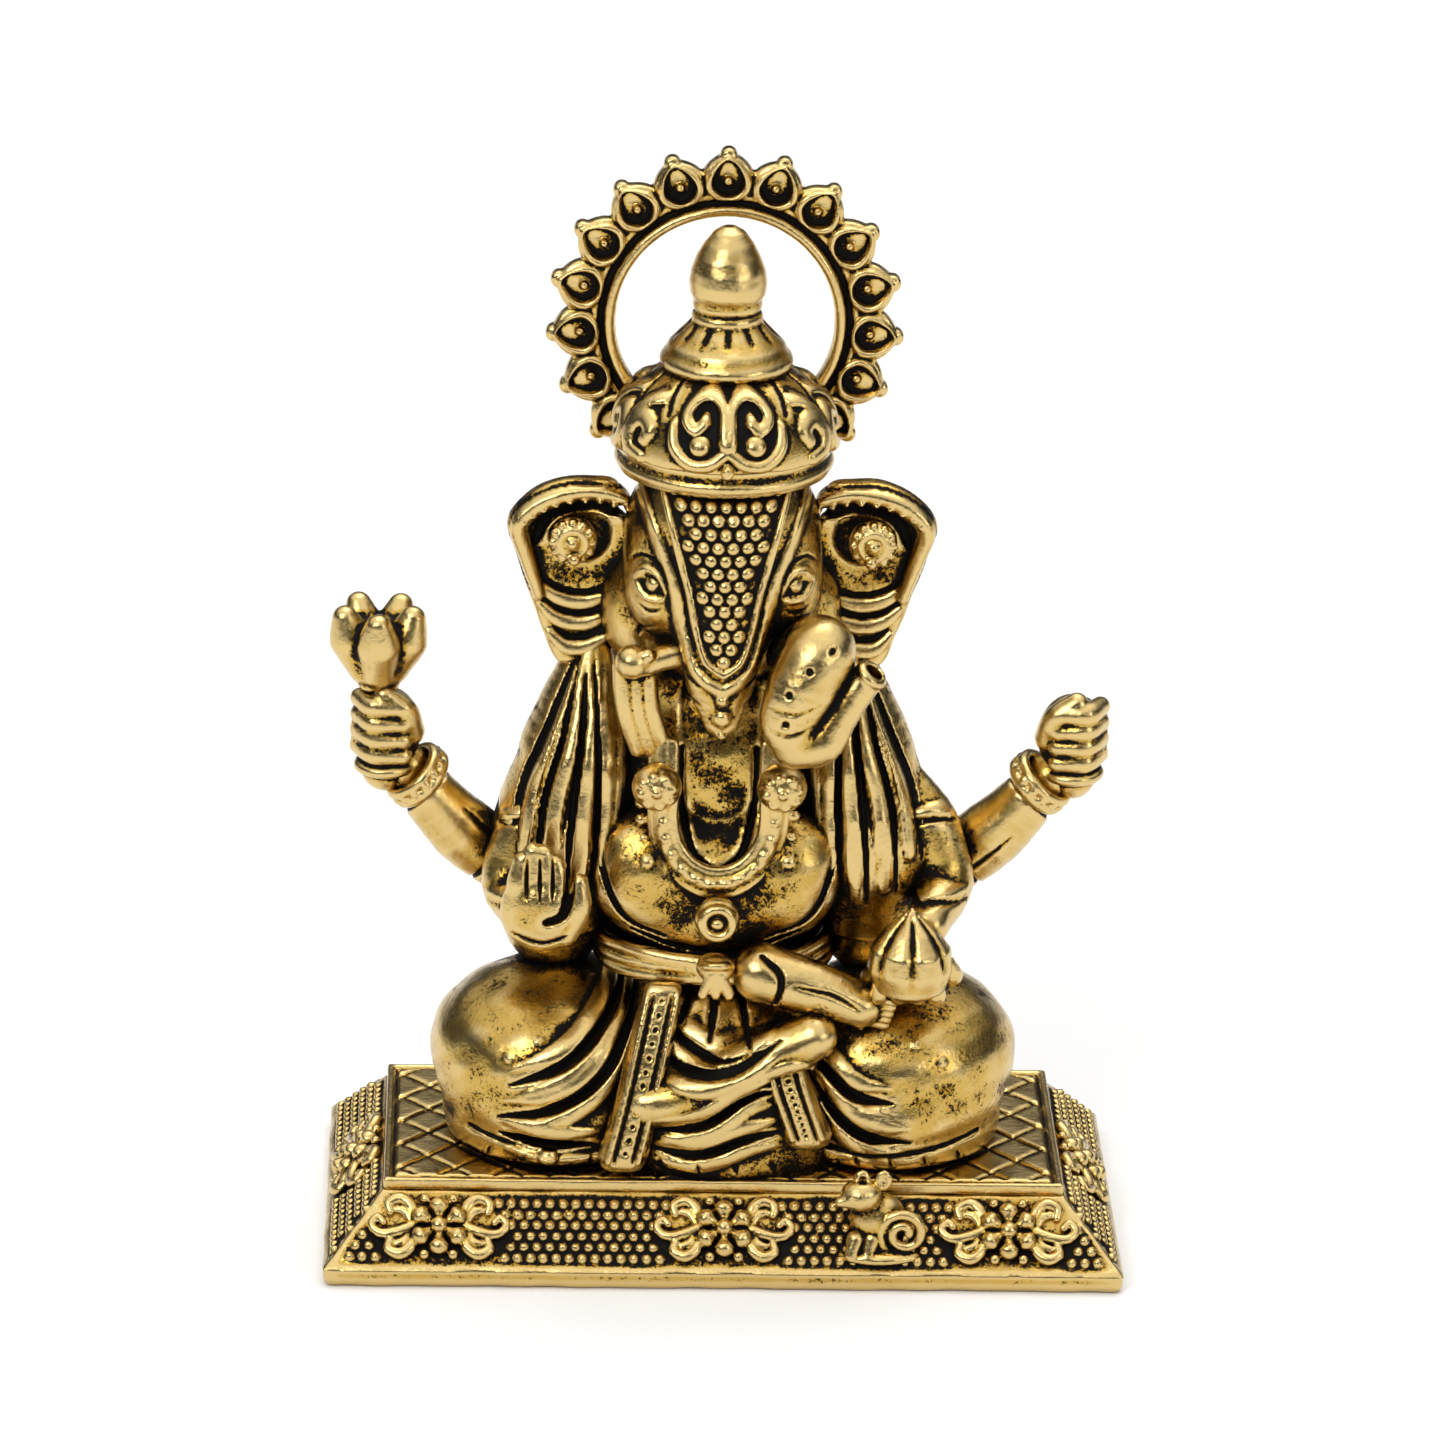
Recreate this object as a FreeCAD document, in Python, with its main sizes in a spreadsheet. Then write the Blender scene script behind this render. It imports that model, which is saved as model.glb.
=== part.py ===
"""Seated four-armed elephant-headed idol on a rectangular pedestal, about 74 mm tall.

The idol is a small gilt casting, built up from cast pieces that are pegged or soldered
together. +Z is up, +X is towards the idol's left side, and the idol faces -Y. The origin is
the middle of the pedestal's underside. All sizes are millimetres and degrees.

Every driving size is a cell of the spreadsheet. The figure's own middle plane stands a
little to one side of the pedestal's: it is the cell axis_x, and places across the upper
figure are counted from it.
"""

import FreeCAD, Part
import math
import os
import Sketcher
from FreeCAD import Placement, Rotation, Vector

DIMENSIONS = {
    # pedestal: a rim, a sloping band and a hollow underside
    "base_w": 53.3,
    "base_d": 27.3,
    "rim_rise": 1.6,
    "rim_step": 0.3,
    "rim_round": 0.6,
    "slope_rise": 3.8,
    "slope_run": 3.6,
    "cast_wall": 1.6,
    "slab_rise": 0.85,
    "slab_round": 0.2,
    "peg_dia": 2.4,
    "peg_draft": 0.001,
    "peg_gap": 0.05,
    "peg_spread": 14,
    # ornaments on the sloping band
    "rosette_pitch": 19,
    "rosette_dia": 3.9,
    "rosette_rise": 0.6,
    "flower_relief": 1.5,
    "scroll_relief": 1.3,
    "rosette_taper": 0.8,
    "scroll_dia": 2.2,
    "scroll_reach": 2.5,
    "mouse_x": 9.3,
    "mouse_w": 4.0,
    "mouse_d": 4,
    "mouse_tall": 4.2,
    "mouse_z": 4.2,
    "mouse_head": 2.7,
    "mouse_head_z": 6.1,
    "mouse_haunch_x": 11.4,
    # crossed legs under the wrapped cloth
    "knee_span": 37.8,
    "knee_w": 15.4,
    "knee_d": 17,
    "knee_tall": 12.6,
    "knee_y": -0.5,
    "knee_z": 12,
    "lap_w": 25,
    "lap_d": 17.2,
    "lap_tall": 15.6,
    "lap_y": -1.3,
    "lap_z": 11,
    "heel_dia": 4,
    "heel_x": 2.9,
    "heel_y": -6.8,
    "heel_z": 19.6,
    "toe_dia": 2.2,
    "toe_x": 9.6,
    "toe_y": -7.2,
    "toe_z": 17.6,
    "fold_dia": 3,
    "right_fold_top_x": -4.9,
    "right_fold_top_y": -7.2,
    "right_fold_top_z": 18,
    "right_fold_end_x": -7.2,
    "right_fold_end_y": -8.6,
    "right_fold_end_z": 8,
    "left_fold_top_x": 3.6,
    "left_fold_top_y": -8.6,
    "left_fold_top_z": 15,
    "left_fold_end_x": 5.6,
    "left_fold_end_y": -8.8,
    "left_fold_end_z": 8.8,
    "sash_z": 18.6,
    "sash_tall": 2.4,
    "sash_w": 18.4,
    "sash_d": 14.6,
    "knot_dia": 2.9,
    "knot_y": -7.2,
    "knot_z": 20.4,
    # trunk of the body
    "axis_x": -0.8,
    "belly_w": 17.6,
    "belly_d": 13.6,
    "belly_tall": 16.6,
    "belly_z": 26,
    "chest_w": 18,
    "chest_d": 11,
    "chest_tall": 13,
    "chest_z": 34.2,
    "body_y": 0.3,
    # shawl over the shoulders
    "shawl_w": 9.4,
    "shawl_d": 11,
    "shawl_tall": 19.4,
    "shawl_x": 9.1,
    "shawl_y": 0.8,
    "shawl_z": 31.2,
    "shawl_lean": 10,
    # necklace, with its two medallions and its drop
    "collar_w": 9.6,
    "collar_tall": 12.4,
    "collar_wire": 1.3,
    "collar_y": -6.1,
    "collar_z": 30.6,
    "medallion_dia": 3.4,
    "medallion_x": 4.15,
    "medallion_y": -5.8,
    "medallion_z": 33,
    "drop_dia": 3,
    "drop_y": -7,
    "drop_z": 24.2,
    # rear pair of arms, raised
    "rear_root_x": 10.2,
    "rear_root_y": 1.4,
    "rear_root_z": 24.2,
    "rear_elbow_x": 14.2,
    "rear_elbow_z": 25.4,
    "rear_wrist_x": 21.2,
    "rear_wrist_z": 31.6,
    "rear_root_dia": 6.6,
    "rear_arm_dia": 6.2,
    "rear_wrist_dia": 4.3,
    "fist_w": 5.5,
    "fist_d": 5.2,
    "fist_tall": 6.6,
    "fist_x": 22.9,
    "fist_y": -0.4,
    "fist_z": 34.8,
    "bud_dia": 6.1,
    "bud_foot_dia": 3.6,
    "bud_tall": 5.6,
    "bud_x": -23.4,
    "bud_z": 37.6,
    # front pair of arms
    "front_root_x": 13,
    "front_root_z": 32.2,
    "front_root_y": -0.4,
    "front_elbow_x": 13.9,
    "front_elbow_y": -2.6,
    "front_elbow_z": 25.4,
    "front_wrist_x": 12.6,
    "front_wrist_y": -5.2,
    "front_wrist_z": 22.6,
    "front_arm_dia": 5.2,
    "front_wrist_dia": 3.8,
    "palm_w": 6.4,
    "palm_d": 3.4,
    "palm_tall": 7.4,
    "palm_x": -12.4,
    "palm_y": -6.2,
    "palm_z": 25.6,
    "cupped_w": 7,
    "cupped_d": 4.6,
    "cupped_tall": 4.6,
    "cupped_x": 12,
    "cupped_y": -6.4,
    "cupped_z": 20.2,
    "sweet_dia": 5.6,
    "sweet_x": 12.1,
    "sweet_y": -7.4,
    "sweet_z": 22.6,
    "bangle_wire": 1.1,
    # elephant head
    "head_w": 12.8,
    "head_d": 12.4,
    "head_tall": 15,
    "head_y": -0.8,
    "head_z": 47.8,
    "trunk_dia": 6.4,
    "trunk_low_dia": 3,
    "trunk_y": -5.4,
    "trunk_top_z": 43.6,
    "trunk_low_z": 38.6,
    "curl_dia": 4.8,
    "curl_tip_dia": 2.6,
    "curl_y": -7.6,
    "curl_top_x": 5.4,
    "curl_top_z": 43,
    "curl_side_x": 3.4,
    "curl_side_z": 40.2,
    "curl_low_x": 4,
    "curl_low_z": 37.4,
    "curl_turn_x": 6.4,
    "curl_turn_z": 37.8,
    "curl_tip_x": 8.2,
    "curl_tip_z": 41,
    "ear_w": 8.4,
    "ear_d": 2.4,
    "ear_tall": 12.8,
    "ear_x": 9.8,
    "ear_y": 0.6,
    "ear_z": 45.8,
    "ear_lean": 8,
    "earring_dia": 3.1,
    "earring_x": 9.9,
    "earring_y": -0.9,
    "earring_z": 49,
    "net_thick": 0.6,
    "net_w": 10.2,
    "net_top_z": 53,
    "net_low_z": 42.6,
    "tusk_dia": 1.9,
    "tusk_tip_dia": 1.3,
    "tusk_x": -3.6,
    "tusk_y": -5.2,
    "tusk_z": 42,
    "tusk_long": 3,
    "tassel_dia": 1.8,
    "tassel_drop": 1.1,
    # crown
    "band_dia": 14.2,
    "band_tall": 2.1,
    "band_flare": 0.4,
    "band_z": 53.4,
    "crown_y": 0,
    "dome_dia": 14.8,
    "dome_tall": 7.2,
    "dome_z": 55.2,
    "dome_top_z": 60.4,
    "tier_rim_dia": 8.7,
    "tier_rim_wire": 1.2,
    "tier_top_dia": 4.4,
    "neck_step": 0.2,
    "tier_z": 61,
    "tier_tall": 3.4,
    "neck_dia": 4.4,
    "finial_dia": 4.9,
    "finial_tall": 4.6,
    "finial_z": 66.5,
    "finial_tip_z": 70,
    "finial_tip_dia": 3.4,
    # halo: leaf-shaped cups round an open ring
    "halo_y": 4.6,
    "halo_z": 62,
    "halo_in_dia": 14.5,
    "halo_rim": 1.5,
    "halo_thick": 1.5,
    "petal_pitch": 19,
    "petal_w": 2.9,
    "petal_long": 3.7,
    "petal_sink": 0.6,
    "petal_lip": 0.45,
    "cup_depth": 0.7,
}

PETALS = 15
SEAT = "(d.rim_rise + d.slope_rise + d.slab_rise)"
SLOPE_FOOT_W = "(d.base_w - 2 * d.rim_step)"
SLOPE_FOOT_D = "(d.base_d - 2 * d.rim_step)"
SLOPE_HEAD_W = "(d.base_w - 2 * d.rim_step - 2 * d.slope_run)"
SLOPE_HEAD_D = "(d.base_d - 2 * d.rim_step - 2 * d.slope_run)"
SIDES = (("right", -1), ("left", 1))
X_AXIS = Vector(1, 0, 0)
Y_AXIS = Vector(0, 1, 0)
Z_AXIS = Vector(0, 0, 1)

doc = FreeCAD.newDocument("ganesha_idol")
sheet = doc.addObject("Spreadsheet::Sheet", "d")
for row, (alias, value) in enumerate(DIMENSIONS.items(), start=1):
    sheet.set(f"A{row}", alias)
    sheet.set(f"B{row}", str(value))
    sheet.setAlias(f"B{row}", alias)
doc.recompute()
nodes = []
masses = {}


def size(alias):
    """A driving size, read back from the sheet."""
    return float(sheet.get(alias))


def spot(x, y, z):
    """A point from three sheet values, or from numbers worked out from them."""
    return Vector(*(size(part) if isinstance(part, str) else part for part in (x, y, z)))


def bind(thing, **formulas):
    for name, formula in formulas.items():
        thing.setExpression(name, str(formula))
    return thing


def put(thing, x="0", y="0", z="0", turn=Rotation()):
    """Places an object: its turn is set once, and its position follows the sheet."""
    thing.Placement = Placement(Vector(), turn)
    for axis, formula in zip("xyz", (x, y, z)):
        thing.setExpression(f"Placement.Base.{axis}", str(formula))
    return thing


def ellipsoid(name, wide, deep, tall, x, y, z, turn=Rotation()):
    """An ellipsoid given by its three diameters and its centre."""
    thing = doc.addObject("Part::Ellipsoid", name)
    bind(thing, Radius1=f"({tall}) / 2", Radius2=f"({wide}) / 2", Radius3=f"({deep}) / 2")
    return put(thing, x, y, z, turn)


def ball(name, diameter, x, y, z):
    thing = doc.addObject("Part::Sphere", name)
    bind(thing, Radius=f"({diameter}) / 2")
    return put(thing, x, y, z)


def block(name, wide, deep, tall, x, y, z):
    """A box centred on x and y that stands on z."""
    thing = doc.addObject("Part::Box", name)
    bind(thing, Length=wide, Width=deep, Height=tall)
    return put(thing, f"{x} - ({wide}) / 2", f"{y} - ({deep}) / 2", z)


def cone(name, low, high, tall, x, y, z, turn=Rotation()):
    """A round bar from diameter low to diameter high, which stands on z unless turned."""
    thing = doc.addObject("Part::Cone", name)
    bind(thing, Radius1=f"({low}) / 2", Radius2=f"({high}) / 2", Height=tall)
    return put(thing, x, y, z, turn)


def fuse(name, *parts):
    thing = doc.addObject("Part::MultiFuse", name)
    thing.Shapes = list(parts)
    return thing


def overlap(name, thing, limits):
    common = doc.addObject("Part::Common", name)
    common.Base = thing
    common.Tool = limits
    common.Refine = False
    return common


def group(name, *parts):
    thing = doc.addObject("Part::Compound", name)
    thing.Links = list(parts)
    return thing


def trim(name, thing, *neighbours):
    """The thing without the room that its neighbours' untrimmed masses take up."""
    mass = thing
    for number, neighbour in enumerate(neighbours, start=1):
        last = number == len(neighbours)
        cut = doc.addObject("Part::Cut", name if last else f"{name}_less_{number}")
        cut.Base = thing
        cut.Tool = masses.get(neighbour.Name, neighbour)
        cut.Refine = False
        thing = cut
    masses[thing.Name] = mass
    return thing


def node(label, thing):
    """Names a finished sub-part: its label is also its file's name."""
    thing.Label = label
    nodes.append(thing)
    return thing


LEAST_TAPER = 0.01


def limb(name, *stations):
    """A round limb through (point, diameter) stations, as bars between balls."""
    solids = [Part.makeSphere(diameter / 2, point) for point, diameter in stations]
    for (start, thick), (end, thin) in zip(stations, stations[1:]):
        run = end - start
        if abs(thick - thin) < LEAST_TAPER:
            solids.append(Part.makeCylinder(thick / 2, run.Length, start, run))
        else:
            solids.append(Part.makeCone(thick / 2, thin / 2, run.Length, start, run))
    thing = doc.addObject("Part::Feature", name)
    thing.Shape = solids[0].multiFuse(solids[1:])
    return thing


# Sketches on a body's origin planes


def new_sketch(body, name, plane, lift):
    sketch = body.newObject("Sketcher::SketchObject", name)
    origin_plane = next(f for f in body.Origin.OriginFeatures if f.Role == plane)
    sketch.AttachmentSupport = [(origin_plane, "")]
    sketch.MapMode = "FlatFace"
    sketch.setExpression("AttachmentOffset.Base.z", lift)
    return sketch


def pin(sketch, geometry, point, x, y):
    """Holds a point of a sketch's geometry at a place given by two formulas."""
    for kind, formula in (("DistanceX", x), ("DistanceY", y)):
        index = sketch.addConstraint(Sketcher.Constraint(kind, -1, 1, geometry, point, 1.0))
        sketch.setExpression(f"Constraints[{index}]", formula)


def rectangle(body, name, plane, wide, tall, lift="0"):
    """A rectangle centred on the origin of one of the body's planes."""
    sketch = new_sketch(body, name, plane, lift)
    corners = [Vector(-1, -1, 0), Vector(1, -1, 0), Vector(1, 1, 0), Vector(-1, 1, 0)]
    for number, corner in enumerate(corners):
        sketch.addGeometry(Part.LineSegment(corner, corners[(number + 1) % 4]))
    for number in range(4):
        sketch.addConstraint(Sketcher.Constraint("Coincident", number, 2, (number + 1) % 4, 1))
    for number in (0, 2):
        sketch.addConstraint(Sketcher.Constraint("Horizontal", number))
        sketch.addConstraint(Sketcher.Constraint("Vertical", number + 1))
    pin(sketch, 0, 1, f"-({wide}) / 2", f"-({tall}) / 2")
    pin(sketch, 2, 1, f"({wide}) / 2", f"({tall}) / 2")
    return sketch


def circles(body, name, plane, spots, lift="0"):
    """Circles, each given by the formulas of its diameter and its centre."""
    sketch = new_sketch(body, name, plane, lift)
    for number, (diameter, x, y) in enumerate(spots):
        sketch.addGeometry(Part.Circle(Vector(number, 0, 0), Vector(0, 0, 1), 1.0))
        index = sketch.addConstraint(Sketcher.Constraint("Diameter", number, 2.0))
        sketch.setExpression(f"Constraints[{index}]", diameter)
        pin(sketch, number, 3, x, y)
    return sketch


def leaf(body, name, low, long, wide, lift):
    """A leaf outline of two arcs, from its root at height low to its tip."""
    sketch = new_sketch(body, name, "XZ_Plane", lift)
    half = wide / 2
    root, middle, tip = Vector(0, low, 0), low + long / 2, Vector(0, low + long, 0)
    radius = (half**2 + (long / 2) ** 2) / (2 * half)
    for sign in (1, -1):
        belly = Vector(sign * half, middle, 0)
        ends = (root, tip) if sign > 0 else (tip, root)
        sketch.addGeometry(Part.Arc(ends[0], belly, ends[1]))
        sketch.addConstraint(Sketcher.Constraint("Radius", sketch.GeometryCount - 1, radius))
    sketch.addConstraint(Sketcher.Constraint("Coincident", 0, 2, 1, 1))
    sketch.addConstraint(Sketcher.Constraint("Coincident", 1, 2, 0, 1))
    return sketch


def pad(body, name, sketch, length):
    thing = body.newObject("PartDesign::Pad", name)
    thing.Profile = sketch
    thing.setExpression("Length", length)
    return thing


def pocket(body, name, sketch, length):
    thing = body.newObject("PartDesign::Pocket", name)
    thing.Profile = sketch
    thing.setExpression("Length", length)
    return thing


def loft(body, kind, name, low, high):
    thing = body.newObject(f"PartDesign::{kind}Loft", name)
    thing.Profile = low
    thing.Sections = [high]
    thing.Ruled = True
    return thing


def round_top(body, name, height, radius):
    """Rounds every edge of the body that stands on, or ends at, its top face."""
    doc.recompute()
    base = body.Tip
    edges = [
        f"Edge{number}"
        for number, edge in enumerate(base.Shape.Edges, start=1)
        if edge.BoundBox.ZMax > height - LEAST_TAPER
    ]
    rounding = body.newObject("PartDesign::Fillet", name)
    rounding.Base = (base, edges)
    rounding.setExpression("Radius", radius)


def peg_holes(body, name, lift, depth):
    across = "d.peg_dia + 2 * d.peg_gap"
    spots = [(across, f"{sign} d.peg_spread / 2", "0") for sign in "-+"]
    pocket(body, f"{name}_drill", circles(body, name, "XY_Plane", spots, lift), depth)


# The pedestal and what is cast on it


def make_pedestal():
    body = doc.addObject("PartDesign::Body", "pedestal_body")
    pad(body, "rim", rectangle(body, "rim_plan", "XY_Plane", "d.base_w", "d.base_d"), "d.rim_rise")
    round_top(body, "rim_rounding", size("rim_rise"), "d.rim_round")
    bottom, top = "d.rim_rise - d.rim_round", "d.rim_rise + d.slope_rise"
    foot = rectangle(body, "slope_foot", "XY_Plane", SLOPE_FOOT_W, SLOPE_FOOT_D, bottom)
    head = rectangle(body, "slope_head", "XY_Plane", SLOPE_HEAD_W, SLOPE_HEAD_D, top)
    loft(body, "Additive", "slope", foot, head)
    doc.recompute()
    both = "2 * d.cast_wall"
    mouth = rectangle(
        body, "hollow_mouth", "XY_Plane", f"{SLOPE_FOOT_W} - {both}", f"{SLOPE_FOOT_D} - {both}"
    )
    roof = rectangle(
        body,
        "hollow_roof",
        "XY_Plane",
        f"{SLOPE_HEAD_W} - {both}",
        f"{SLOPE_HEAD_D} - {both}",
        f"{top} - d.cast_wall",
    )
    loft(body, "Subtractive", "hollow", mouth, roof)
    doc.recompute()
    peg_holes(body, "deck_holes", top, "d.cast_wall + d.peg_gap")
    return node("pedestal", body)


def make_seat_slab():
    body = doc.addObject("PartDesign::Body", "slab_body")
    plan = rectangle(body, "slab_plan", "XY_Plane", SLOPE_HEAD_W, SLOPE_HEAD_D)
    pad(body, "slab", plan, "d.slab_rise")
    round_top(body, "slab_rounding", size("slab_rise"), "d.slab_round")
    doc.recompute()
    peg_holes(body, "slab_holes", "d.slab_rise", "d.slab_rise + d.peg_gap")
    put(body, z="d.rim_rise + d.slope_rise")
    return node("seat_slab", body)


def rosette(name, along, middle, out):
    """A flower boss between two scroll bosses, which stand square to the sloping band."""
    turn = Rotation(Z_AXIS, out)
    bosses = [("flower", 0, "d.rosette_dia")]
    bosses += [("scroll", reach, "d.scroll_dia") for reach in (-1, 1)]
    parts = []
    for number, (kind, reach, across) in enumerate(bosses):
        place = middle + along * reach * size("scroll_reach") - out * size("rosette_rise") / 2
        rise = f"d.{kind}_relief * d.rosette_rise"
        top = f"{across} * d.rosette_taper"
        parts.append(cone(f"{name}_{kind}_{number}", across, top, rise, *place, turn))
    return fuse(name, *parts)


def make_rosettes(pedestal):
    """Ornaments that lie on the sloping band: three on each long side, one on each end."""
    rise, run = size("slope_rise"), size("slope_run")
    height = size("rim_rise") + rise / 2
    half_w = size("base_w") / 2 - size("rim_step") - run / 2
    half_d = size("base_d") / 2 - size("rim_step") - run / 2
    for side, sign in (("front", -1), ("rear", 1)):
        out = Vector(0, sign * rise, run).normalize()
        ornaments = [
            rosette(
                f"{side}_rosette_{number + 2}",
                X_AXIS,
                Vector(number * size("rosette_pitch"), sign * half_d, height),
                out,
            )
            for number in (-1, 0, 1)
        ]
        row = group(f"{side}_ornaments", *ornaments)
        node(f"{side}_rosettes", trim(f"{side}_rosettes", row, pedestal))
    ornaments = [
        rosette(
            f"{side}_end_rosette",
            Y_AXIS,
            Vector(sign * half_w, 0, height),
            Vector(sign * rise, 0, run).normalize(),
        )
        for side, sign in SIDES
    ]
    ends = group("end_ornaments", *ornaments)
    node("end_rosettes", trim("end_rosettes", ends, pedestal))


def make_mouse(pedestal, slab):
    """The small mount that sits on the front slope beside the middle rosette."""
    front = f"-({SLOPE_FOOT_D} - d.slope_run) / 2"
    trunk = ellipsoid(
        "mouse_trunk", "d.mouse_w", "d.mouse_d", "d.mouse_tall", "d.mouse_x", front, "d.mouse_z"
    )
    head = ball("mouse_head", "d.mouse_head", "d.mouse_x", front, "d.mouse_head_z")
    haunch = ball("mouse_haunch", "d.mouse_head", "d.mouse_haunch_x", front, "d.mouse_z")
    whole = fuse("mouse_whole", trunk, head, haunch)
    return node("mouse", trim("mouse", whole, pedestal, slab))


# The crossed legs and the cloth round them


def make_legs(floor_block):
    """Two rounded thighs, then the cloth between them, which carries the two pegs."""
    thighs = []
    for side, sign in SIDES:
        mass = ellipsoid(
            f"{side}_thigh_mass",
            "d.knee_w",
            "d.knee_d",
            "d.knee_tall",
            f"({sign}) * (d.knee_span - d.knee_w) / 2",
            "d.knee_y",
            "d.knee_z",
        )
        thighs.append(node(f"{side}_thigh", trim(f"{side}_thigh", mass, floor_block)))
    cloth = ellipsoid(
        "lap_mass", "d.lap_w", "d.lap_d", "d.lap_tall", "0", "d.lap_y", "d.lap_z"
    )
    flat = trim("lap_flat", cloth, floor_block)
    pegs = [
        cone(
            f"{side}_peg",
            "d.peg_dia",
            "d.peg_dia + d.peg_draft",
            f"{SEAT} - d.rim_rise - d.slope_rise + d.cast_wall + d.lap_tall / 4",
            f"({sign}) * d.peg_spread / 2",
            "0",
            "d.rim_rise + d.slope_rise - d.cast_wall",
        )
        for side, sign in SIDES
    ]
    lap = trim("lap_cloth", fuse("lap_pegged", flat, *pegs), *thighs)
    return thighs, node("lap_cloth", lap)


def make_foot(legs, torso):
    """The foot of the crossed leg, which lies on the left thigh with its toes outwards."""
    mass = limb(
        "foot_mass",
        (spot("heel_x", "heel_y", "heel_z"), size("heel_dia")),
        (spot("toe_x", "toe_y", "toe_z"), size("toe_dia")),
    )
    return node("crossed_foot", trim("crossed_foot", mass, torso, *legs))


def make_folds(legs, floor_block):
    """The bordered cloth end that hangs down each shin."""
    for side, sign in SIDES:
        name = f"{side}_fold"
        ends = [spot(f"{name}_{end}_x", f"{name}_{end}_y", f"{name}_{end}_z") for end in ("top", "end")]
        mass = limb(f"{name}_mass", *((point, size("fold_dia")) for point in ends))
        node(name, trim(name, mass, floor_block, *legs))


# The body, its shawl and its necklace


def make_torso(legs):
    x, y = "d.axis_x", "d.body_y"
    belly = ellipsoid("belly", "d.belly_w", "d.belly_d", "d.belly_tall", x, y, "d.belly_z")
    chest = ellipsoid("chest", "d.chest_w", "d.chest_d", "d.chest_tall", x, y, "d.chest_z")
    return node("torso", trim("torso", fuse("torso_whole", belly, chest), *legs))


def make_sash(torso, legs):
    """A broad band tied round the waist, under the belly."""
    ring = ellipsoid(
        "sash_round", "d.sash_w", "d.sash_d", "d.sash_w", "d.axis_x", "d.body_y", "d.sash_z"
    )
    wide = "2 * d.sash_w"
    level = block("sash_level", wide, wide, "d.sash_tall", "d.axis_x", "0", "d.sash_z")
    band = overlap("sash_band", ring, level)
    return node("waist_sash", trim("waist_sash", band, torso, *legs))


def make_shawl(torso, legs):
    shawls = []
    for side, sign in SIDES:
        mass = ellipsoid(
            f"{side}_shawl_mass",
            "d.shawl_w",
            "d.shawl_d",
            "d.shawl_tall",
            f"d.axis_x + ({sign}) * d.shawl_x",
            "d.shawl_y",
            "d.shawl_z",
            Rotation(Y_AXIS, sign * size("shawl_lean")),
        )
        shawls.append(node(f"{side}_shawl", trim(f"{side}_shawl", mass, torso, *legs)))
    return shawls


def make_necklace(torso, sash):
    """A looped band on the chest, two round medallions where it is hung, and a drop."""
    loop = doc.addObject("Part::Torus", "collar_round")
    bind(loop, Radius1="d.collar_w / 2", Radius2="d.collar_wire / 2")
    put(loop, "d.axis_x", "d.collar_y", "d.collar_z", Rotation(X_AXIS, 90))
    medallions = [
        node(
            f"{side}_medallion",
            trim(
                f"{side}_medallion",
                ball(
                    f"{side}_medallion_ball",
                    "d.medallion_dia",
                    f"d.axis_x + ({sign}) * d.medallion_x",
                    "d.medallion_y",
                    "d.medallion_z",
                ),
                torso,
            ),
        )
        for side, sign in SIDES
    ]
    node("necklace_band", trim("necklace_band", loop, torso, *medallions))
    drop = ball("drop_ball", "d.drop_dia", "d.axis_x", "d.drop_y", "d.drop_z")
    node("necklace_drop", trim("necklace_drop", drop, torso))
    knot = ball("knot_ball", "d.knot_dia", "d.axis_x", "d.knot_y", "d.knot_z")
    node("waist_knot", trim("waist_knot", knot, torso, sash))
    return medallions


# The arms, and what the hands hold


def make_rear_arms(body_parts):
    """The raised pair: upper arm, forearm, then a fist on each wrist."""
    arms = {}
    for side, sign in SIDES:
        reach = [
            (
                spot(sign * size("rear_root_x"), "rear_root_y", "rear_root_z"),
                size("rear_root_dia"),
            ),
            (
                spot(sign * size("rear_elbow_x"), "rear_root_y", "rear_elbow_z"),
                size("rear_arm_dia"),
            ),
            (
                spot(sign * size("rear_wrist_x"), "fist_y", "rear_wrist_z"),
                size("rear_wrist_dia"),
            ),
        ]
        arm = trim(f"rear_{side}_arm", limb(f"rear_{side}_limb", *reach), *body_parts)
        node(f"rear_{side}_arm", arm)
        fist = ellipsoid(
            f"rear_{side}_fist",
            "d.fist_w",
            "d.fist_d",
            "d.fist_tall",
            f"({sign}) * d.fist_x",
            "d.fist_y",
            "d.fist_z",
        )
        hand = node(f"rear_{side}_hand", trim(f"rear_{side}_hand", fist, arm))
        arms[side] = (arm, hand)
    return arms


def make_bud(hand):
    """The opening lotus bud that the raised right hand holds up."""
    cup = cone(
        "bud_cup",
        "d.bud_foot_dia",
        "d.bud_dia",
        "d.bud_tall",
        "d.bud_x",
        "d.fist_y",
        "d.bud_z",
    )
    return node("lotus_bud", trim("lotus_bud", cup, hand))


def make_front_arms(body_parts):
    arms = {}
    for side, sign in SIDES:
        reach = [
            (
                spot(sign * size("front_root_x"), "front_root_y", "front_root_z"),
                size("front_arm_dia"),
            ),
            (
                spot(sign * size("front_elbow_x"), "front_elbow_y", "front_elbow_z"),
                size("front_arm_dia"),
            ),
            (
                spot(sign * size("front_wrist_x"), "front_wrist_y", "front_wrist_z"),
                size("front_wrist_dia"),
            ),
        ]
        arm = trim(f"front_{side}_arm", limb(f"front_{side}_limb", *reach), *body_parts)
        arms[side] = node(f"front_{side}_arm", arm)
    return arms


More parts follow.
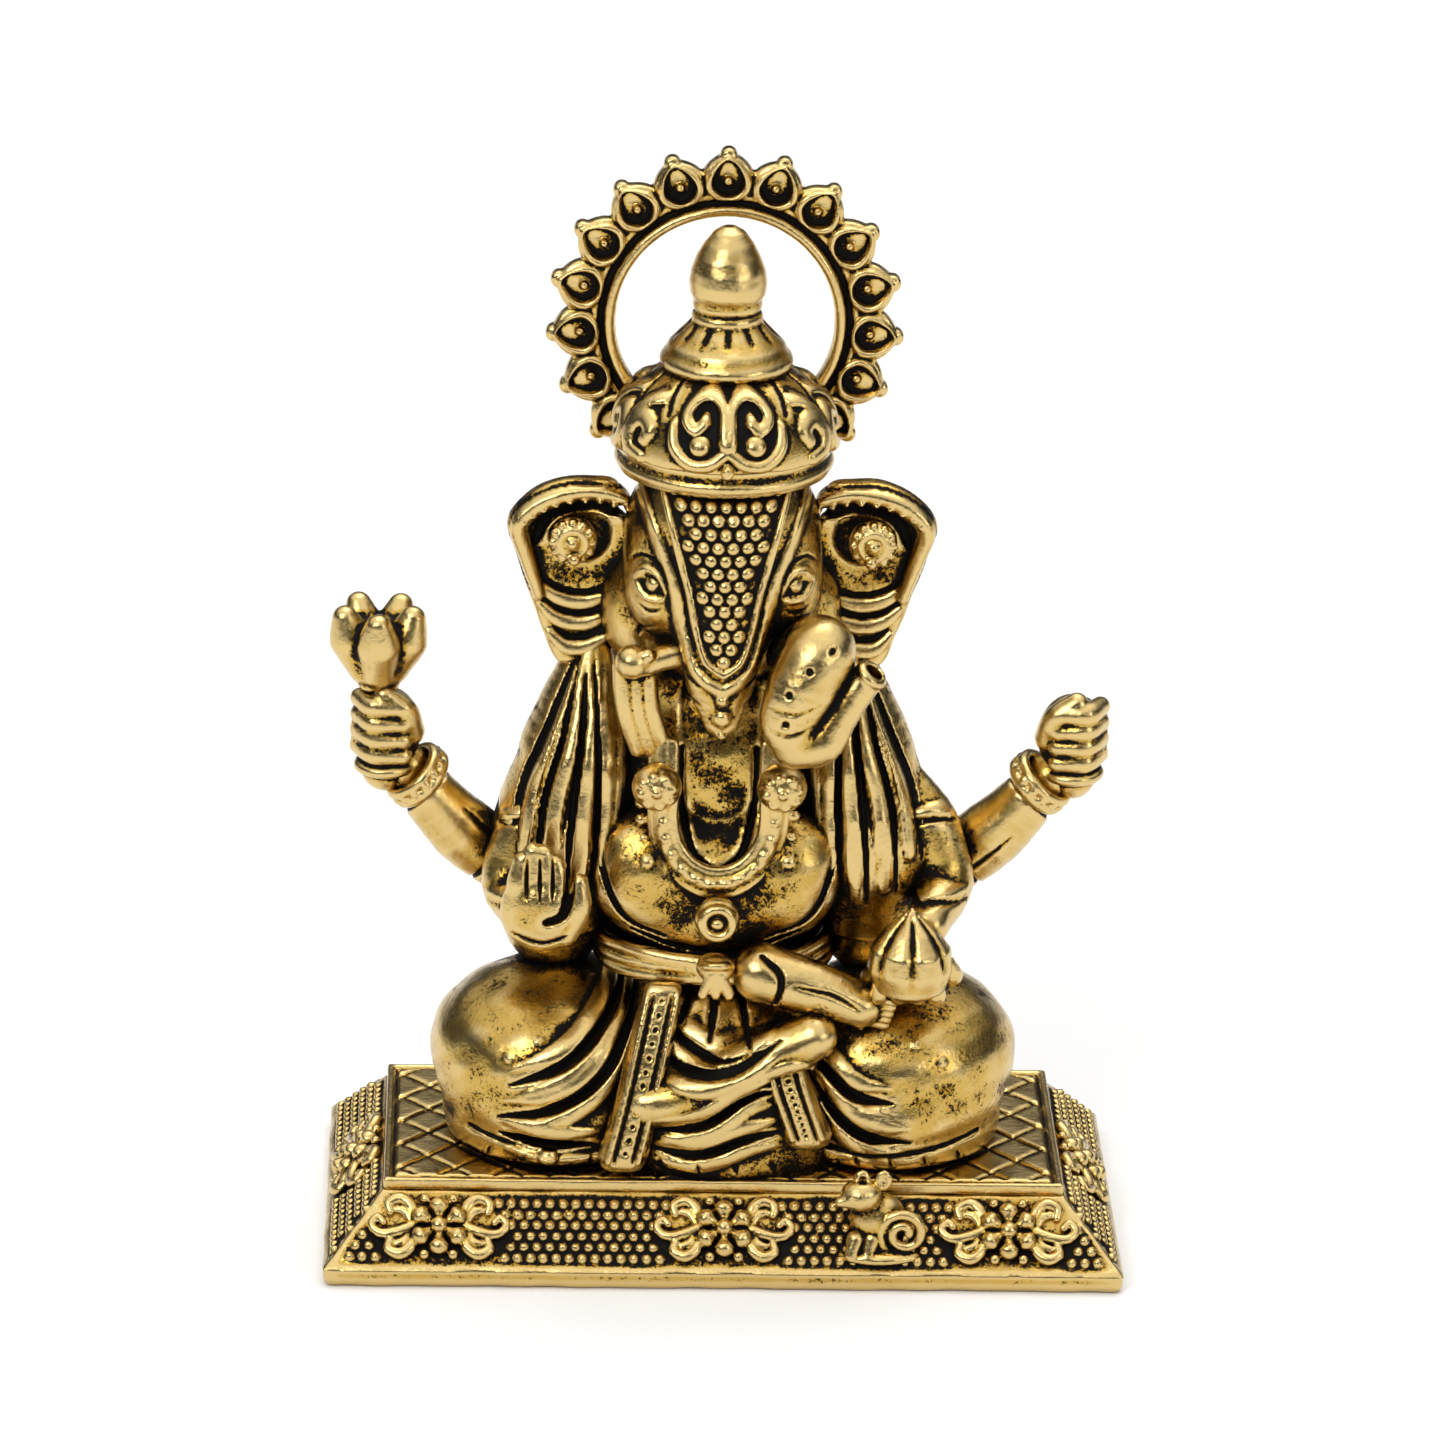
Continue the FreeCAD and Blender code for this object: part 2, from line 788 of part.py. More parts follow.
def make_front_hands(arms, body_parts):
    """The right hand is raised, palm forward; the left one is cupped under a round sweet."""
    palm = ellipsoid(
        "palm", "d.palm_w", "d.palm_d", "d.palm_tall", "d.palm_x", "d.palm_y", "d.palm_z"
    )
    node("front_right_hand", trim("front_right_hand", palm, arms["right"], *body_parts))
    cupped = ellipsoid(
        "cupped",
        "d.cupped_w",
        "d.cupped_d",
        "d.cupped_tall",
        "d.cupped_x",
        "d.cupped_y",
        "d.cupped_z",
    )
    sweet = ball("sweet_ball", "d.sweet_dia", "d.sweet_x", "d.sweet_y", "d.sweet_z")
    sweet = node("modak_sweet", trim("modak_sweet", sweet, arms["left"], *body_parts))
    hand = trim("front_left_hand", cupped, sweet, arms["left"], *body_parts)
    node("front_left_hand", hand)


def make_bangles(arms):
    """A ring round each raised wrist, square to the forearm."""
    rings = []
    for side, sign in SIDES:
        wrist = spot(sign * size("rear_wrist_x"), "fist_y", "rear_wrist_z")
        elbow = spot(sign * size("rear_elbow_x"), "rear_root_y", "rear_elbow_z")
        ring = doc.addObject("Part::Torus", f"{side}_bangle_ring")
        bind(ring, Radius1="d.rear_wrist_dia / 2", Radius2="d.bangle_wire / 2")
        put(ring, wrist.x, wrist.y, wrist.z, Rotation(Z_AXIS, wrist - elbow))
        rings.append(ring)
    room = [piece for pair in arms.values() for piece in pair]
    return node("wrist_bangles", trim("wrist_bangles", group("bangle_rings", *rings), *room))


# The head


def make_head(body_parts):
    mass = ellipsoid(
        "head_mass", "d.head_w", "d.head_d", "d.head_tall", "d.axis_x", "d.head_y", "d.head_z"
    )
    return node("head", trim("head", mass, *body_parts))


def make_trunk(head, body_parts):
    """The trunk's straight root, which tapers down the middle of the face."""
    axis = size("axis_x")
    root = limb(
        "trunk_limb",
        (spot(axis, "trunk_y", "trunk_top_z"), size("trunk_dia")),
        (spot(axis, "trunk_y", "trunk_low_z"), size("trunk_low_dia")),
    )
    return node("trunk", trim("trunk", root, head, *body_parts))


def make_curl(*neighbours):
    """The trunk's end: it drops beside the face, turns at the chest and rises to its tip."""
    bends = ("top", "side", "low", "turn", "tip")
    thinning = (size("curl_tip_dia") - size("curl_dia")) / (len(bends) - 1)
    stations = [
        (
            spot(f"curl_{bend}_x", "curl_y", f"curl_{bend}_z"),
            size("curl_dia") + number * thinning,
        )
        for number, bend in enumerate(bends)
    ]
    return node("trunk_curl", trim("trunk_curl", limb("curl_limb", *stations), *neighbours))


def make_ears(head, body_parts):
    ears = []
    for side, sign in SIDES:
        fan = ellipsoid(
            f"{side}_ear_fan",
            "d.ear_w",
            "d.ear_d",
            "d.ear_tall",
            f"d.axis_x + ({sign}) * d.ear_x",
            "d.ear_y",
            "d.ear_z",
            Rotation(Y_AXIS, sign * size("ear_lean")),
        )
        ears.append(node(f"{side}_ear", trim(f"{side}_ear", fan, head, *body_parts)))
    studs = [
        ball(
            f"{side}_stud",
            "d.earring_dia",
            f"d.axis_x + ({sign}) * d.earring_x",
            "d.earring_y",
            "d.earring_z",
        )
        for side, sign in SIDES
    ]
    node("ear_studs", trim("ear_studs", group("stud_balls", *studs), *ears))
    return ears


def make_forehead_net(head, band):
    """A thin three-cornered plate that follows the brow and points down the trunk."""
    axis, deep = size("axis_x"), size("head_d")
    shell = ellipsoid(
        "net_shell",
        "d.head_w + 2 * d.net_thick",
        "d.head_d + 2 * d.net_thick",
        "d.head_tall + 2 * d.net_thick",
        "d.axis_x",
        "d.head_y",
        "d.head_z",
    )
    corners = [
        Vector(axis - size("net_w") / 2, -deep, size("net_top_z")),
        Vector(axis + size("net_w") / 2, -deep, size("net_top_z")),
        Vector(axis, -deep, size("net_low_z")),
    ]
    wedge = doc.addObject("Part::Feature", "net_wedge")
    outline = Part.Face(Part.makePolygon(corners + corners[:1]))
    wedge.Shape = outline.extrude(Vector(0, deep + size("head_y") - size("head_d") / 4, 0))
    plate = overlap("net_plate", shell, wedge)
    return node("forehead_net", trim("forehead_net", plate, head, band))


def make_tusk(*neighbours):
    """The short right tusk, with a tassel hung from its end."""
    start = spot("tusk_x", "tusk_y", "tusk_z")
    end = start - Vector(size("tusk_long"), 0, 0)
    tusk = limb("tusk_limb", (start, size("tusk_dia")), (end, size("tusk_tip_dia")))
    tusk = node("tusk", trim("tusk", tusk, *neighbours))
    tassel = doc.addObject("Part::Feature", "tassel_ball")
    tassel.Shape = Part.makeSphere(size("tassel_dia") / 2, end - Z_AXIS * size("tassel_drop"))
    node("tusk_tassel", trim("tusk_tassel", tassel, tusk, *neighbours))


# The crown and the halo behind it


def make_crown(head):
    """Brow band, dome, flared tier and pointed finial, all on one upright axis."""
    x, y = "d.axis_x", "d.crown_y"
    ring = cone("band_ring", "d.band_dia", "d.band_dia - d.band_flare", "d.band_tall", x, y, "d.band_z")
    band = node("crown_band", trim("crown_band", ring, head))
    dome = ellipsoid("dome_round", "d.dome_dia", "d.dome_dia", "2 * d.dome_tall", x, y, "d.dome_z")
    wide, low = "2 * d.dome_dia", "d.band_z + d.band_tall"
    level = block("dome_level", wide, wide, f"d.dome_top_z - ({low})", x, y, low)
    dome = node("crown_dome", trim("crown_dome", overlap("dome_mass", dome, level), head))
    bell = cone(
        "tier_bell",
        "d.tier_rim_dia",
        "d.tier_top_dia",
        "d.tier_tall",
        x,
        y,
        "d.dome_top_z",
    )
    lip = doc.addObject("Part::Torus", "tier_lip")
    bind(lip, Radius1="(d.tier_rim_dia - d.tier_rim_wire) / 2", Radius2="d.tier_rim_wire / 2")
    put(lip, x, y, "d.tier_z")
    tier = node("crown_tier", trim("crown_tier", fuse("tier_whole", bell, lip), dome))
    bulb = ellipsoid("finial_bulb", "d.finial_dia", "d.finial_dia", "d.finial_tall", x, y, "d.finial_z")
    tip = cone(
        "finial_tip",
        "d.finial_tip_dia",
        "0",
        "d.finial_tip_z - d.finial_z - d.finial_tall / 4",
        x,
        y,
        "d.finial_z + d.finial_tall / 4",
    )
    tier_top = "(d.dome_top_z + d.tier_tall)"
    neck = cone(
        "neck",
        "d.neck_dia",
        "d.tier_top_dia - d.neck_step",
        f"d.finial_z - {tier_top}",
        x,
        y,
        tier_top,
    )
    node("crown_finial", trim("crown_finial", fuse("finial_whole", bulb, neck, tip), tier))
    return band, dome


def make_halo(*neighbours):
    """An open ring with leaf-shaped cups round it, soldered to the back of the crown."""
    body = doc.addObject("PartDesign::Body", "halo_body")
    rings = [("d.halo_in_dia + 2 * d.halo_rim", "0", "0"), ("d.halo_in_dia", "0", "0")]
    pad(body, "ring", circles(body, "ring_outline", "XZ_Plane", rings), "d.halo_thick")
    doc.recompute()
    root = size("halo_in_dia") / 2 + size("halo_rim") - size("petal_sink")
    long, wide, lip = size("petal_long"), size("petal_w"), size("petal_lip")
    petal = pad(body, "petal", leaf(body, "petal_outline", root, long, wide, "0"), "d.halo_thick")
    doc.recompute()
    hollow = leaf(body, "cup_outline", root + 2 * lip, long - 4 * lip, wide - 2 * lip, "d.halo_thick")
    cup = pocket(body, "cup", hollow, "d.cup_depth")
    doc.recompute()
    pattern = body.newObject("PartDesign::PolarPattern", "petals")
    pattern.Originals = [petal, cup]
    y_axis = next(f for f in body.Origin.OriginFeatures if f.Role == "Y_Axis")
    pattern.Axis = (y_axis, [""])
    pattern.Occurrences = PETALS
    bind(pattern, Angle=f"d.petal_pitch * {PETALS - 1}")
    body.Tip = pattern
    half_spread = size("petal_pitch") * (PETALS - 1) / 2
    put(body, "d.axis_x", "d.halo_y + d.halo_thick / 2", "d.halo_z", Rotation(Y_AXIS, -half_spread))
    return node("halo", trim("halo", body, *neighbours))


def check_all():
    """Stops the build on a failed object or on a sub-part that is no valid solid."""
    for thing in doc.Objects:
        if {"Invalid", "Error"} & set(thing.State):
            raise RuntimeError(f"{thing.Name} failed: {thing.State}")
    for thing in nodes:
        if thing.Shape.isNull() or not thing.Shape.isValid() or not thing.Shape.Solids:
            raise RuntimeError(f"{thing.Label} is not a valid solid")


def main():
    pedestal = make_pedestal()
    slab = make_seat_slab()
    make_rosettes(pedestal)
    make_mouse(pedestal, slab)
    floor_block = block("seat_level", "d.base_w", "2 * d.base_d", SEAT, "0", "0", "0")
    thighs, lap = make_legs(floor_block)
    legs = [*thighs, lap]
    make_folds(legs, floor_block)
    torso = make_torso(legs)
    make_foot(legs, torso)
    sash = make_sash(torso, legs)
    shawls = make_shawl(torso, legs)
    medallions = make_necklace(torso, sash)
    body_parts = [torso, *shawls]
    rear_arms = make_rear_arms(body_parts + thighs)
    make_bud(rear_arms["right"][1])
    make_bangles(rear_arms)
    rear_limbs = [arm for arm, hand in rear_arms.values()]
    front_arms = make_front_arms(body_parts + thighs + rear_limbs)
    make_front_hands(front_arms, body_parts + thighs)
    head = make_head(body_parts)
    trunk = make_trunk(head, body_parts)
    ears = make_ears(head, body_parts)
    make_curl(head, trunk, ears[1], *medallions, *body_parts)
    make_tusk(head, trunk, ears[0])
    band, dome = make_crown(head)
    make_forehead_net(head, trunk)
    make_halo(dome, band, head)
    doc.recompute()
    check_all()
    os.makedirs("parts", exist_ok=True)
    for thing in nodes:
        thing.Shape.exportStep(os.path.join("parts", f"{thing.Label}.step"))


main()
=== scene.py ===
import math

import bpy
import numpy as np
import openvdb
from mathutils import Matrix, Vector


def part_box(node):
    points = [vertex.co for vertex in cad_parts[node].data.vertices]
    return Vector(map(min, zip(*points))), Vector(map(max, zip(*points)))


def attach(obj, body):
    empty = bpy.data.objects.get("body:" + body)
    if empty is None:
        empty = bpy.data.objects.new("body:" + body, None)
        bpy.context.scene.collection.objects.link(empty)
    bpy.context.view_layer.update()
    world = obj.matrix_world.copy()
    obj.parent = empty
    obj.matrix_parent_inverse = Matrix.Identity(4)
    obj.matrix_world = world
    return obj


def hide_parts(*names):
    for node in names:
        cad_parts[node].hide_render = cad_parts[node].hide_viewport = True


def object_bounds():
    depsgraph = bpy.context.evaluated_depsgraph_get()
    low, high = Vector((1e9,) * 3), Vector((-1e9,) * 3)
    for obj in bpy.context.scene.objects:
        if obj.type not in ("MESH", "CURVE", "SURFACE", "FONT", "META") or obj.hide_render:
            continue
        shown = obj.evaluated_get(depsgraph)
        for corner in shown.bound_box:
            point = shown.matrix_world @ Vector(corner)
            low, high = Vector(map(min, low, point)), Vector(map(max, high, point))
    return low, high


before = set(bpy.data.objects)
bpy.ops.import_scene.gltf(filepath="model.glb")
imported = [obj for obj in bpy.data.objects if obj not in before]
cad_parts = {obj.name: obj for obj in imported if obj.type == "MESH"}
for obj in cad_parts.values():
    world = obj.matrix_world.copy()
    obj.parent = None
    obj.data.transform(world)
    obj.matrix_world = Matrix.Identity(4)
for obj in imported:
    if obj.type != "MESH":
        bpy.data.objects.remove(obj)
cad_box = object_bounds()

# Each piece is modelled as clay: a signed distance in millimetres, sampled on a lattice, which
# masses are added to and cut from, and which reliefs are pressed into. Its surface becomes a
# mesh, and every point of the mesh knows how deep in a crevice it lies, for the patina.

MM = 0.001
STEP = 0.14
FINE_STEP = STEP * 0.8
WIDE_STEP = STEP * 1.1
FAR = 3.0
EVERYWHERE = np.full(3, -1e3), np.full(3, 1e3)
LEFT, RIGHT = 1, -1
BOTH = (RIGHT, LEFT)
SIDES = ((RIGHT, "right"), (LEFT, "left"))
_, Y_AXIS, Z_AXIS = np.eye(3)


def blend_min(a, b, soft):
    if soft <= 0:
        return np.minimum(a, b)
    share = np.clip(0.5 + 0.5 * (b - a) / soft, 0, 1)
    return b + (a - b) * share - soft * share * (1 - share)


def blend_max(a, b, soft):
    return -blend_min(-a, -b, soft)


def smooth(low, high, value):
    share = np.clip((value - low) / (high - low), 0, 1)
    return share * share * (3 - 2 * share)


def spokes(count, start=0):
    """The cosines and sines of angles spaced evenly round a circle."""
    for number in range(count):
        angle = math.radians(360 / count * number + start)
        yield math.cos(angle), math.sin(angle)


def path(points, per=6):
    """A smooth line through the points, with a few stations between each two."""
    points = np.array(points, float)
    if len(points) < 3:
        return points
    ends = np.vstack([2 * points[0] - points[1], points, 2 * points[-1] - points[-2]])
    line = []
    for a, b, c, d in zip(ends, ends[1:], ends[2:], ends[3:]):
        for t in np.linspace(0, 1, per, endpoint=False):
            square, cube = 2 * a - 5 * b + 4 * c - d, 3 * b - a - 3 * c + d
            line.append(0.5 * (2 * b + (c - a) * t + square * t**2 + cube * t**3))
    line.append(points[-1])
    return np.array(line)


def closed_path(points, per=5):
    """A smooth closed outline through the points."""
    line = path([*points[-2:], *points, *points[:2]], per)
    return line[2 * per : -3 * per]


def outline_gap(u, v, points):
    """Signed distance to a closed outline on a flat sheet; negative inside."""
    points = np.array(points, float)
    square = np.full(np.broadcast(u, v).shape, 1e6)
    inside = np.zeros(square.shape, bool)
    for start, end in zip(points, np.roll(points, -1, axis=0)):
        run = end - start
        along = np.clip(((u - start[0]) * run[0] + (v - start[1]) * run[1]) / (run @ run), 0, 1)
        gap = (u - start[0] - along * run[0]) ** 2 + (v - start[1] - along * run[1]) ** 2
        square = np.minimum(square, gap)
        if start[1] != end[1]:
            crosses = (v >= min(start[1], end[1])) & (v < max(start[1], end[1]))
            inside ^= crosses & (u < start[0] + (v - start[1]) * run[0] / run[1])
    return np.where(inside, -1, 1) * np.sqrt(square)


# Solid shapes: each returns (distance function, lowest corner, highest corner)


def egg(middle, radii):
    """An ellipsoid."""
    middle, radii = np.array(middle, float), np.array(radii, float)

    def distance(x, y, z):
        gap = (x - middle[0], y - middle[1], z - middle[2])
        near = np.sqrt(sum((g / r) ** 2 for g, r in zip(gap, radii)))
        slope = np.sqrt(sum((g / r**2) ** 2 for g, r in zip(gap, radii))) + 1e-6
        return near * (near - 1) / slope

    return distance, middle - radii, middle + radii


def ball(middle, radius):
    middle = np.array(middle, float)

    def distance(x, y, z):
        gap = (x - middle[0]) ** 2 + (y - middle[1]) ** 2 + (z - middle[2]) ** 2
        return np.sqrt(gap) - radius

    return distance, middle - radius, middle + radius


def rod(start, end, thick, thin=None):
    """A round-ended bar that can narrow towards its end."""
    start, end = np.array(start, float), np.array(end, float)
    thin = thick if thin is None else thin
    run = end - start
    length = max(run @ run, 1e-9)

    def distance(x, y, z):
        gap = (x - start[0], y - start[1], z - start[2])
        along = np.clip(sum(g * r for g, r in zip(gap, run)) / length, 0, 1)
        square = sum((g - along * r) ** 2 for g, r in zip(gap, run))
        return np.sqrt(square) - (thick + (thin - thick) * along)

    low, high = np.minimum(start - thick, end - thin), np.maximum(start + thick, end + thin)
    return distance, low, high


def about_axis(middle, axis):
    """Measures how far out from an axis, and how far along it, a place is."""
    axis = np.array(axis, float) / np.linalg.norm(axis)

    def measure(x, y, z):
        gap = (x - middle[0], y - middle[1], z - middle[2])
        up = sum(g * a for g, a in zip(gap, axis))
        return np.sqrt(np.maximum(sum(g * g for g in gap) - up**2, 0)), up

    return measure


def ring(middle, axis, radius, wire):
    middle = np.array(middle, float)
    measure = about_axis(middle, axis)

    def distance(x, y, z):
        out, up = measure(x, y, z)
        return np.sqrt((out - radius) ** 2 + up**2) - wire

    return distance, middle - radius - wire, middle + radius + wire


def disc(middle, axis, radius, half, edge):
    """A coin of this half thickness with a rounded edge."""
    middle = np.array(middle, float)
    measure = about_axis(middle, axis)

    def distance(x, y, z):
        out, up = measure(x, y, z)
        out, up = out - radius + edge, np.abs(up) - half + edge
        corner = np.sqrt(np.maximum(out, 0) ** 2 + np.maximum(up, 0) ** 2)
        return corner + np.minimum(np.maximum(out, up), 0) - edge

    return distance, middle - radius - half, middle + radius + half


def slab(low, high, edge):
    """A box with rounded edges."""
    low, high = np.array(low, float), np.array(high, float)
    middle, half = (low + high) / 2, (high - low) / 2 - edge

    def distance(x, y, z):
        over = [np.abs(p - m) - h for p, m, h in zip((x, y, z), middle, half)]
        outside = np.sqrt(sum(np.maximum(o, 0) ** 2 for o in over))
        inside = np.minimum(np.maximum(np.maximum(over[0], over[1]), over[2]), 0)
        return outside + inside - edge

    return distance, low, high


def lathe(axis, profile):
    """A solid of revolution about an upright axis; profile gives (height, radius) pairs."""
    heights, radii = np.array(profile, float).T

    def distance(x, y, z):
        out = np.sqrt((x - axis[0]) ** 2 + (y - axis[1]) ** 2)
        steep = np.sqrt(1 + np.interp(z, heights, np.gradient(radii, heights)) ** 2)
        side = (out - np.interp(z, heights, radii)) / steep
        return np.maximum(np.maximum(side, z - heights[-1]), heights[0] - z)

    return distance, *EVERYWHERE


class Relief:
    """Heights in millimetres drawn on a flat sheet (u across, v up), to be pressed into clay."""

    def __init__(self, low, high, step=0.07, origin=(0.0, 0.0)):
        self.low, self.step, self.origin = np.array(low, float), step, np.array(origin)
        count = np.ceil((np.array(high, float) - self.low) / step).astype(int) + 1
        self.u = (self.low[0] + np.arange(count[0]) * step)[:, None]
        self.v = (self.low[1] + np.arange(count[1]) * step)[None, :]
        self.heights = np.zeros(count, np.float32)

    def near(self, points, reach):
        """Distance to a line of points, in the part of the sheet within reach of it."""
        first = np.floor((points.min(0) - reach - self.low) / self.step).astype(int)
        last = np.ceil((points.max(0) + reach - self.low) / self.step).astype(int) + 1
        first, last = (np.clip(edge, 0, self.heights.shape) for edge in (first, last))
        spans = (slice(first[0], last[0]), slice(first[1], last[1]))
        u, v = self.u[spans[0]], self.v[:, spans[1]]
        best = np.full((u.shape[0], v.shape[1]), FAR * 4)
        share = np.zeros_like(best)
        for number, (start, end) in enumerate(zip(points, points[1:])):
            run = end - start
            length = max(run @ run, 1e-9)
            along = np.clip(((u - start[0]) * run[0] + (v - start[1]) * run[1]) / length, 0, 1)
            gap = np.hypot(u - start[0] - along * run[0], v - start[1] - along * run[1])
            closer = gap < best
            best = np.where(closer, gap, best)
            share = np.where(closer, (number + along) / (len(points) - 1), share)
        return spans, best, share

    def place(self, points, side):
        return self.origin + np.array(points, float) * (side, 1)

    def stroke(self, points, width, height, taper=0.0):
        spans, gap, share = self.near(points, width)
        thin = 1 - taper * np.abs(2 * share - 1) ** 2
        across = np.clip(gap / (width / 2 * thin), 0, 1)
        bump = height * np.sqrt(1 - across**2) * thin
        here = self.heights[spans]
        if height > 0:
            self.heights[spans] = np.where(here < 0, here + bump, np.maximum(here, bump))
        else:
            self.heights[spans] = np.where(here > 0, here + bump, np.minimum(here, bump))

    def line(self, points, width, height, taper=0.0, side=1):
        """A smooth line, raised, or sunken if its height is negative; taper thins both its ends."""
        self.stroke(path(self.place(points, side)), width, height, taper)

    def bar(self, points, width, height, taper=0.0, side=1):
        """The same, straight from point to point."""
        self.stroke(self.place(points, side), width, height, taper)

    def dot(self, spot, radius, height, side=1):
        spot = self.place(spot, side)
        self.stroke(np.array([spot, spot + 1e-4]), 2 * radius, height)

    def draw(self, lines, side=1):
        """Draws lines that are given as (width, height, taper, point, point...)."""
        for width, height, taper, *points in lines:
            self.line(points, width, height, taper, side)

    def sample(self, u, v):
        """Heights at any places; beyond the sheet they are zero."""
        u, v = np.broadcast_arrays(u, v)
        column, row = (u - self.low[0]) / self.step, (v - self.low[1]) / self.step
        c0 = np.clip(np.floor(column).astype(int), 0, self.heights.shape[0] - 2)
        r0 = np.clip(np.floor(row).astype(int), 0, self.heights.shape[1] - 2)
        c, r = np.clip(column - c0, 0, 1), np.clip(row - r0, 0, 1)
        got = (
            self.heights[c0, r0] * (1 - c) * (1 - r)
            + self.heights[c0 + 1, r0] * c * (1 - r)
            + self.heights[c0, r0 + 1] * (1 - c) * r
            + self.heights[c0 + 1, r0 + 1] * c * r
        )
        inside = (column >= 0) & (row >= 0)
        inside &= (column <= self.heights.shape[0] - 1) & (row <= self.heights.shape[1] - 1)
        return np.where(inside, got, 0)


class Place:
    """Where a CAD node is, in millimetres: its middle, its half sizes and its corners."""

    def __init__(self, node):
        low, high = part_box(node)
        self.low, self.high = np.array(low) / MM, np.array(high) / MM
        self.mid = (self.low + self.high) / 2
        self.half = (self.high - self.low) / 2

    def by(self, x=0.0, y=0.0, z=0.0):
        """The point that lies this many millimetres from the middle."""
        return self.mid + (x, y, z)

    def each(self, *points):
        return [self.by(*point) for point in points]

    def at(self, u=0.0, v=0.0, w=0.0):
        """The point at these shares of the half sizes from the middle."""
        return self.mid + self.half * (u, v, w)

    def sheet(self, reach, step=0.07):
        """A relief that faces forward, drawn from the node's middle."""
        middle = self.mid[[0, 2]]
        return Relief(middle - reach, middle + reach, step, middle)


class Clay:
    """A block of space that a piece is sculpted in."""

    def __init__(self, low, high, step=STEP):
        self.step = step
        self.start = np.floor(np.array(low, float) / step).astype(int) - 4
        stop = np.ceil(np.array(high, float) / step).astype(int) + 5
        self.field = np.full(stop - self.start, FAR, np.float32)

    def window(self, low, high, reach):
        first = np.floor((np.array(low) - reach) / self.step).astype(int) - self.start
        last = np.ceil((np.array(high) + reach) / self.step).astype(int) + 1 - self.start
        first = np.clip(first, 0, self.field.shape)
        last = np.clip(last, first, self.field.shape)
        spans = tuple(slice(a, b) for a, b in zip(first, last))
        axes = [
            ((np.arange(a, b) + s) * self.step).astype(np.float32)
            for a, b, s in zip(first, last, self.start)
        ]
        return spans, axes[0][:, None, None], axes[1][None, :, None], axes[2][None, None, :]

    def everywhere(self):
        return self.window(*EVERYWHERE, 0)[1:]

    def add(self, shape, soft=0.0):
        distance, low, high = shape
        spans, x, y, z = self.window(low, high, soft + 3 * self.step)
        self.field[spans] = blend_min(self.field[spans], distance(x, y, z), soft)

    def cut(self, shape, soft=0.0):
        distance, low, high = shape
        spans, x, y, z = self.window(low, high, soft + 3 * self.step)
        self.field[spans] = blend_max(self.field[spans], -distance(x, y, z), soft)

    def trim(self, floor=-np.inf, top=np.inf):
        """Cuts the clay off level at a floor and at a top."""
        x, y, z = self.everywhere()
        self.field[:] = np.maximum(self.field, np.maximum(floor - z, z - top))

    def run(self, points, radii, soft=0.0, per=5):
        """A tube along a smooth line; radii are given at the points."""
        line = path(points, per)
        stations, knots = (np.linspace(0, 1, len(p)) for p in (line, points))
        thick = np.interp(stations, knots, np.broadcast_to(radii, len(points)))
        whole = self.field
        self.field = np.full(whole.shape, FAR, np.float32)
        for start, end, a, b in zip(line, line[1:], thick, thick[1:]):
            self.add(rod(start, end, a, b))
        self.field = blend_min(whole, self.field, soft)

    def press(self, heights, within):
        """Raises the surface by these heights; only the skin, within this depth, is moved."""
        skin = 1 - smooth(within * 0.5, within, np.abs(self.field))
        self.field -= (heights * skin).astype(np.float32)

    def press_front(self, sheet, back, within=1.1):
        """Presses a relief on the side that faces forward; it fades out at the plane y = back."""
        x, y, z = self.everywhere()
        self.press(sheet.sample(x, z) * smooth(back + 0.8, back - 0.8, y), within)

    def cast(self, amount):
        """The slight unevenness of a hand-finished casting."""
        x, y, z = self.everywhere()
        wave = np.sin(0.9 * x + 0.7 * z) * np.sin(0.8 * y - 0.5 * x + 1) * np.sin(1.1 * z + 0.4 * y)
        ripple = np.sin(1.9 * x - 1.3 * z + 2) * np.sin(2.1 * z + 1.5 * y)
        self.field += (amount * (wave + 0.25 * ripple)).astype(np.float32)


def block(node, below=1, above=None, step=STEP):
    """A node's place, and clay with this much room below and above its box."""
    place = Place(node)
    return place, Clay(place.low - below, place.high + (below if above is None else above), step)


def blur(field, reach):
    """A smooth average over about reach lattice steps, made of two running means an axis."""
    count = 2 * reach + 1
    for axis in (0, 0, 1, 1, 2, 2):
        pad = [(reach + 1, reach) if a == axis else (0, 0) for a in range(3)]
        total = np.cumsum(np.pad(field, pad, mode="edge"), axis=axis, dtype=np.float32)
        size = field.shape[axis]
        upper = np.take(total, range(count, count + size), axis=axis)
        field = (upper - np.take(total, range(size), axis=axis)) / count
    return field


def look_up(field, places):
    """Trilinear values of a lattice at places given in lattice steps."""
    base = np.clip(np.floor(places).astype(int), 0, np.array(field.shape) - 2)
    part = np.clip(places - base, 0, 1)
    total = np.zeros(len(places))
    for corner in range(8):
        pick = [(corner >> axis) & 1 for axis in range(3)]
        weight = np.prod([part[:, a] if pick[a] else 1 - part[:, a] for a in range(3)], axis=0)
        total += weight * field[base[:, 0] + pick[0], base[:, 1] + pick[1], base[:, 2] + pick[2]]
    return total


# The whole idol's solids on one coarse lattice, which crevices between pieces are measured in

WORLD_STEP = 0.25
WORLD_ROOM = 12
world_start = np.floor(np.array(cad_box[0]) / MM / WORLD_STEP).astype(int) - WORLD_ROOM
world_stop = np.ceil(np.array(cad_box[1]) / MM / WORLD_STEP).astype(int) + WORLD_ROOM
world = np.zeros(world_stop - world_start, np.float32)
casts = []


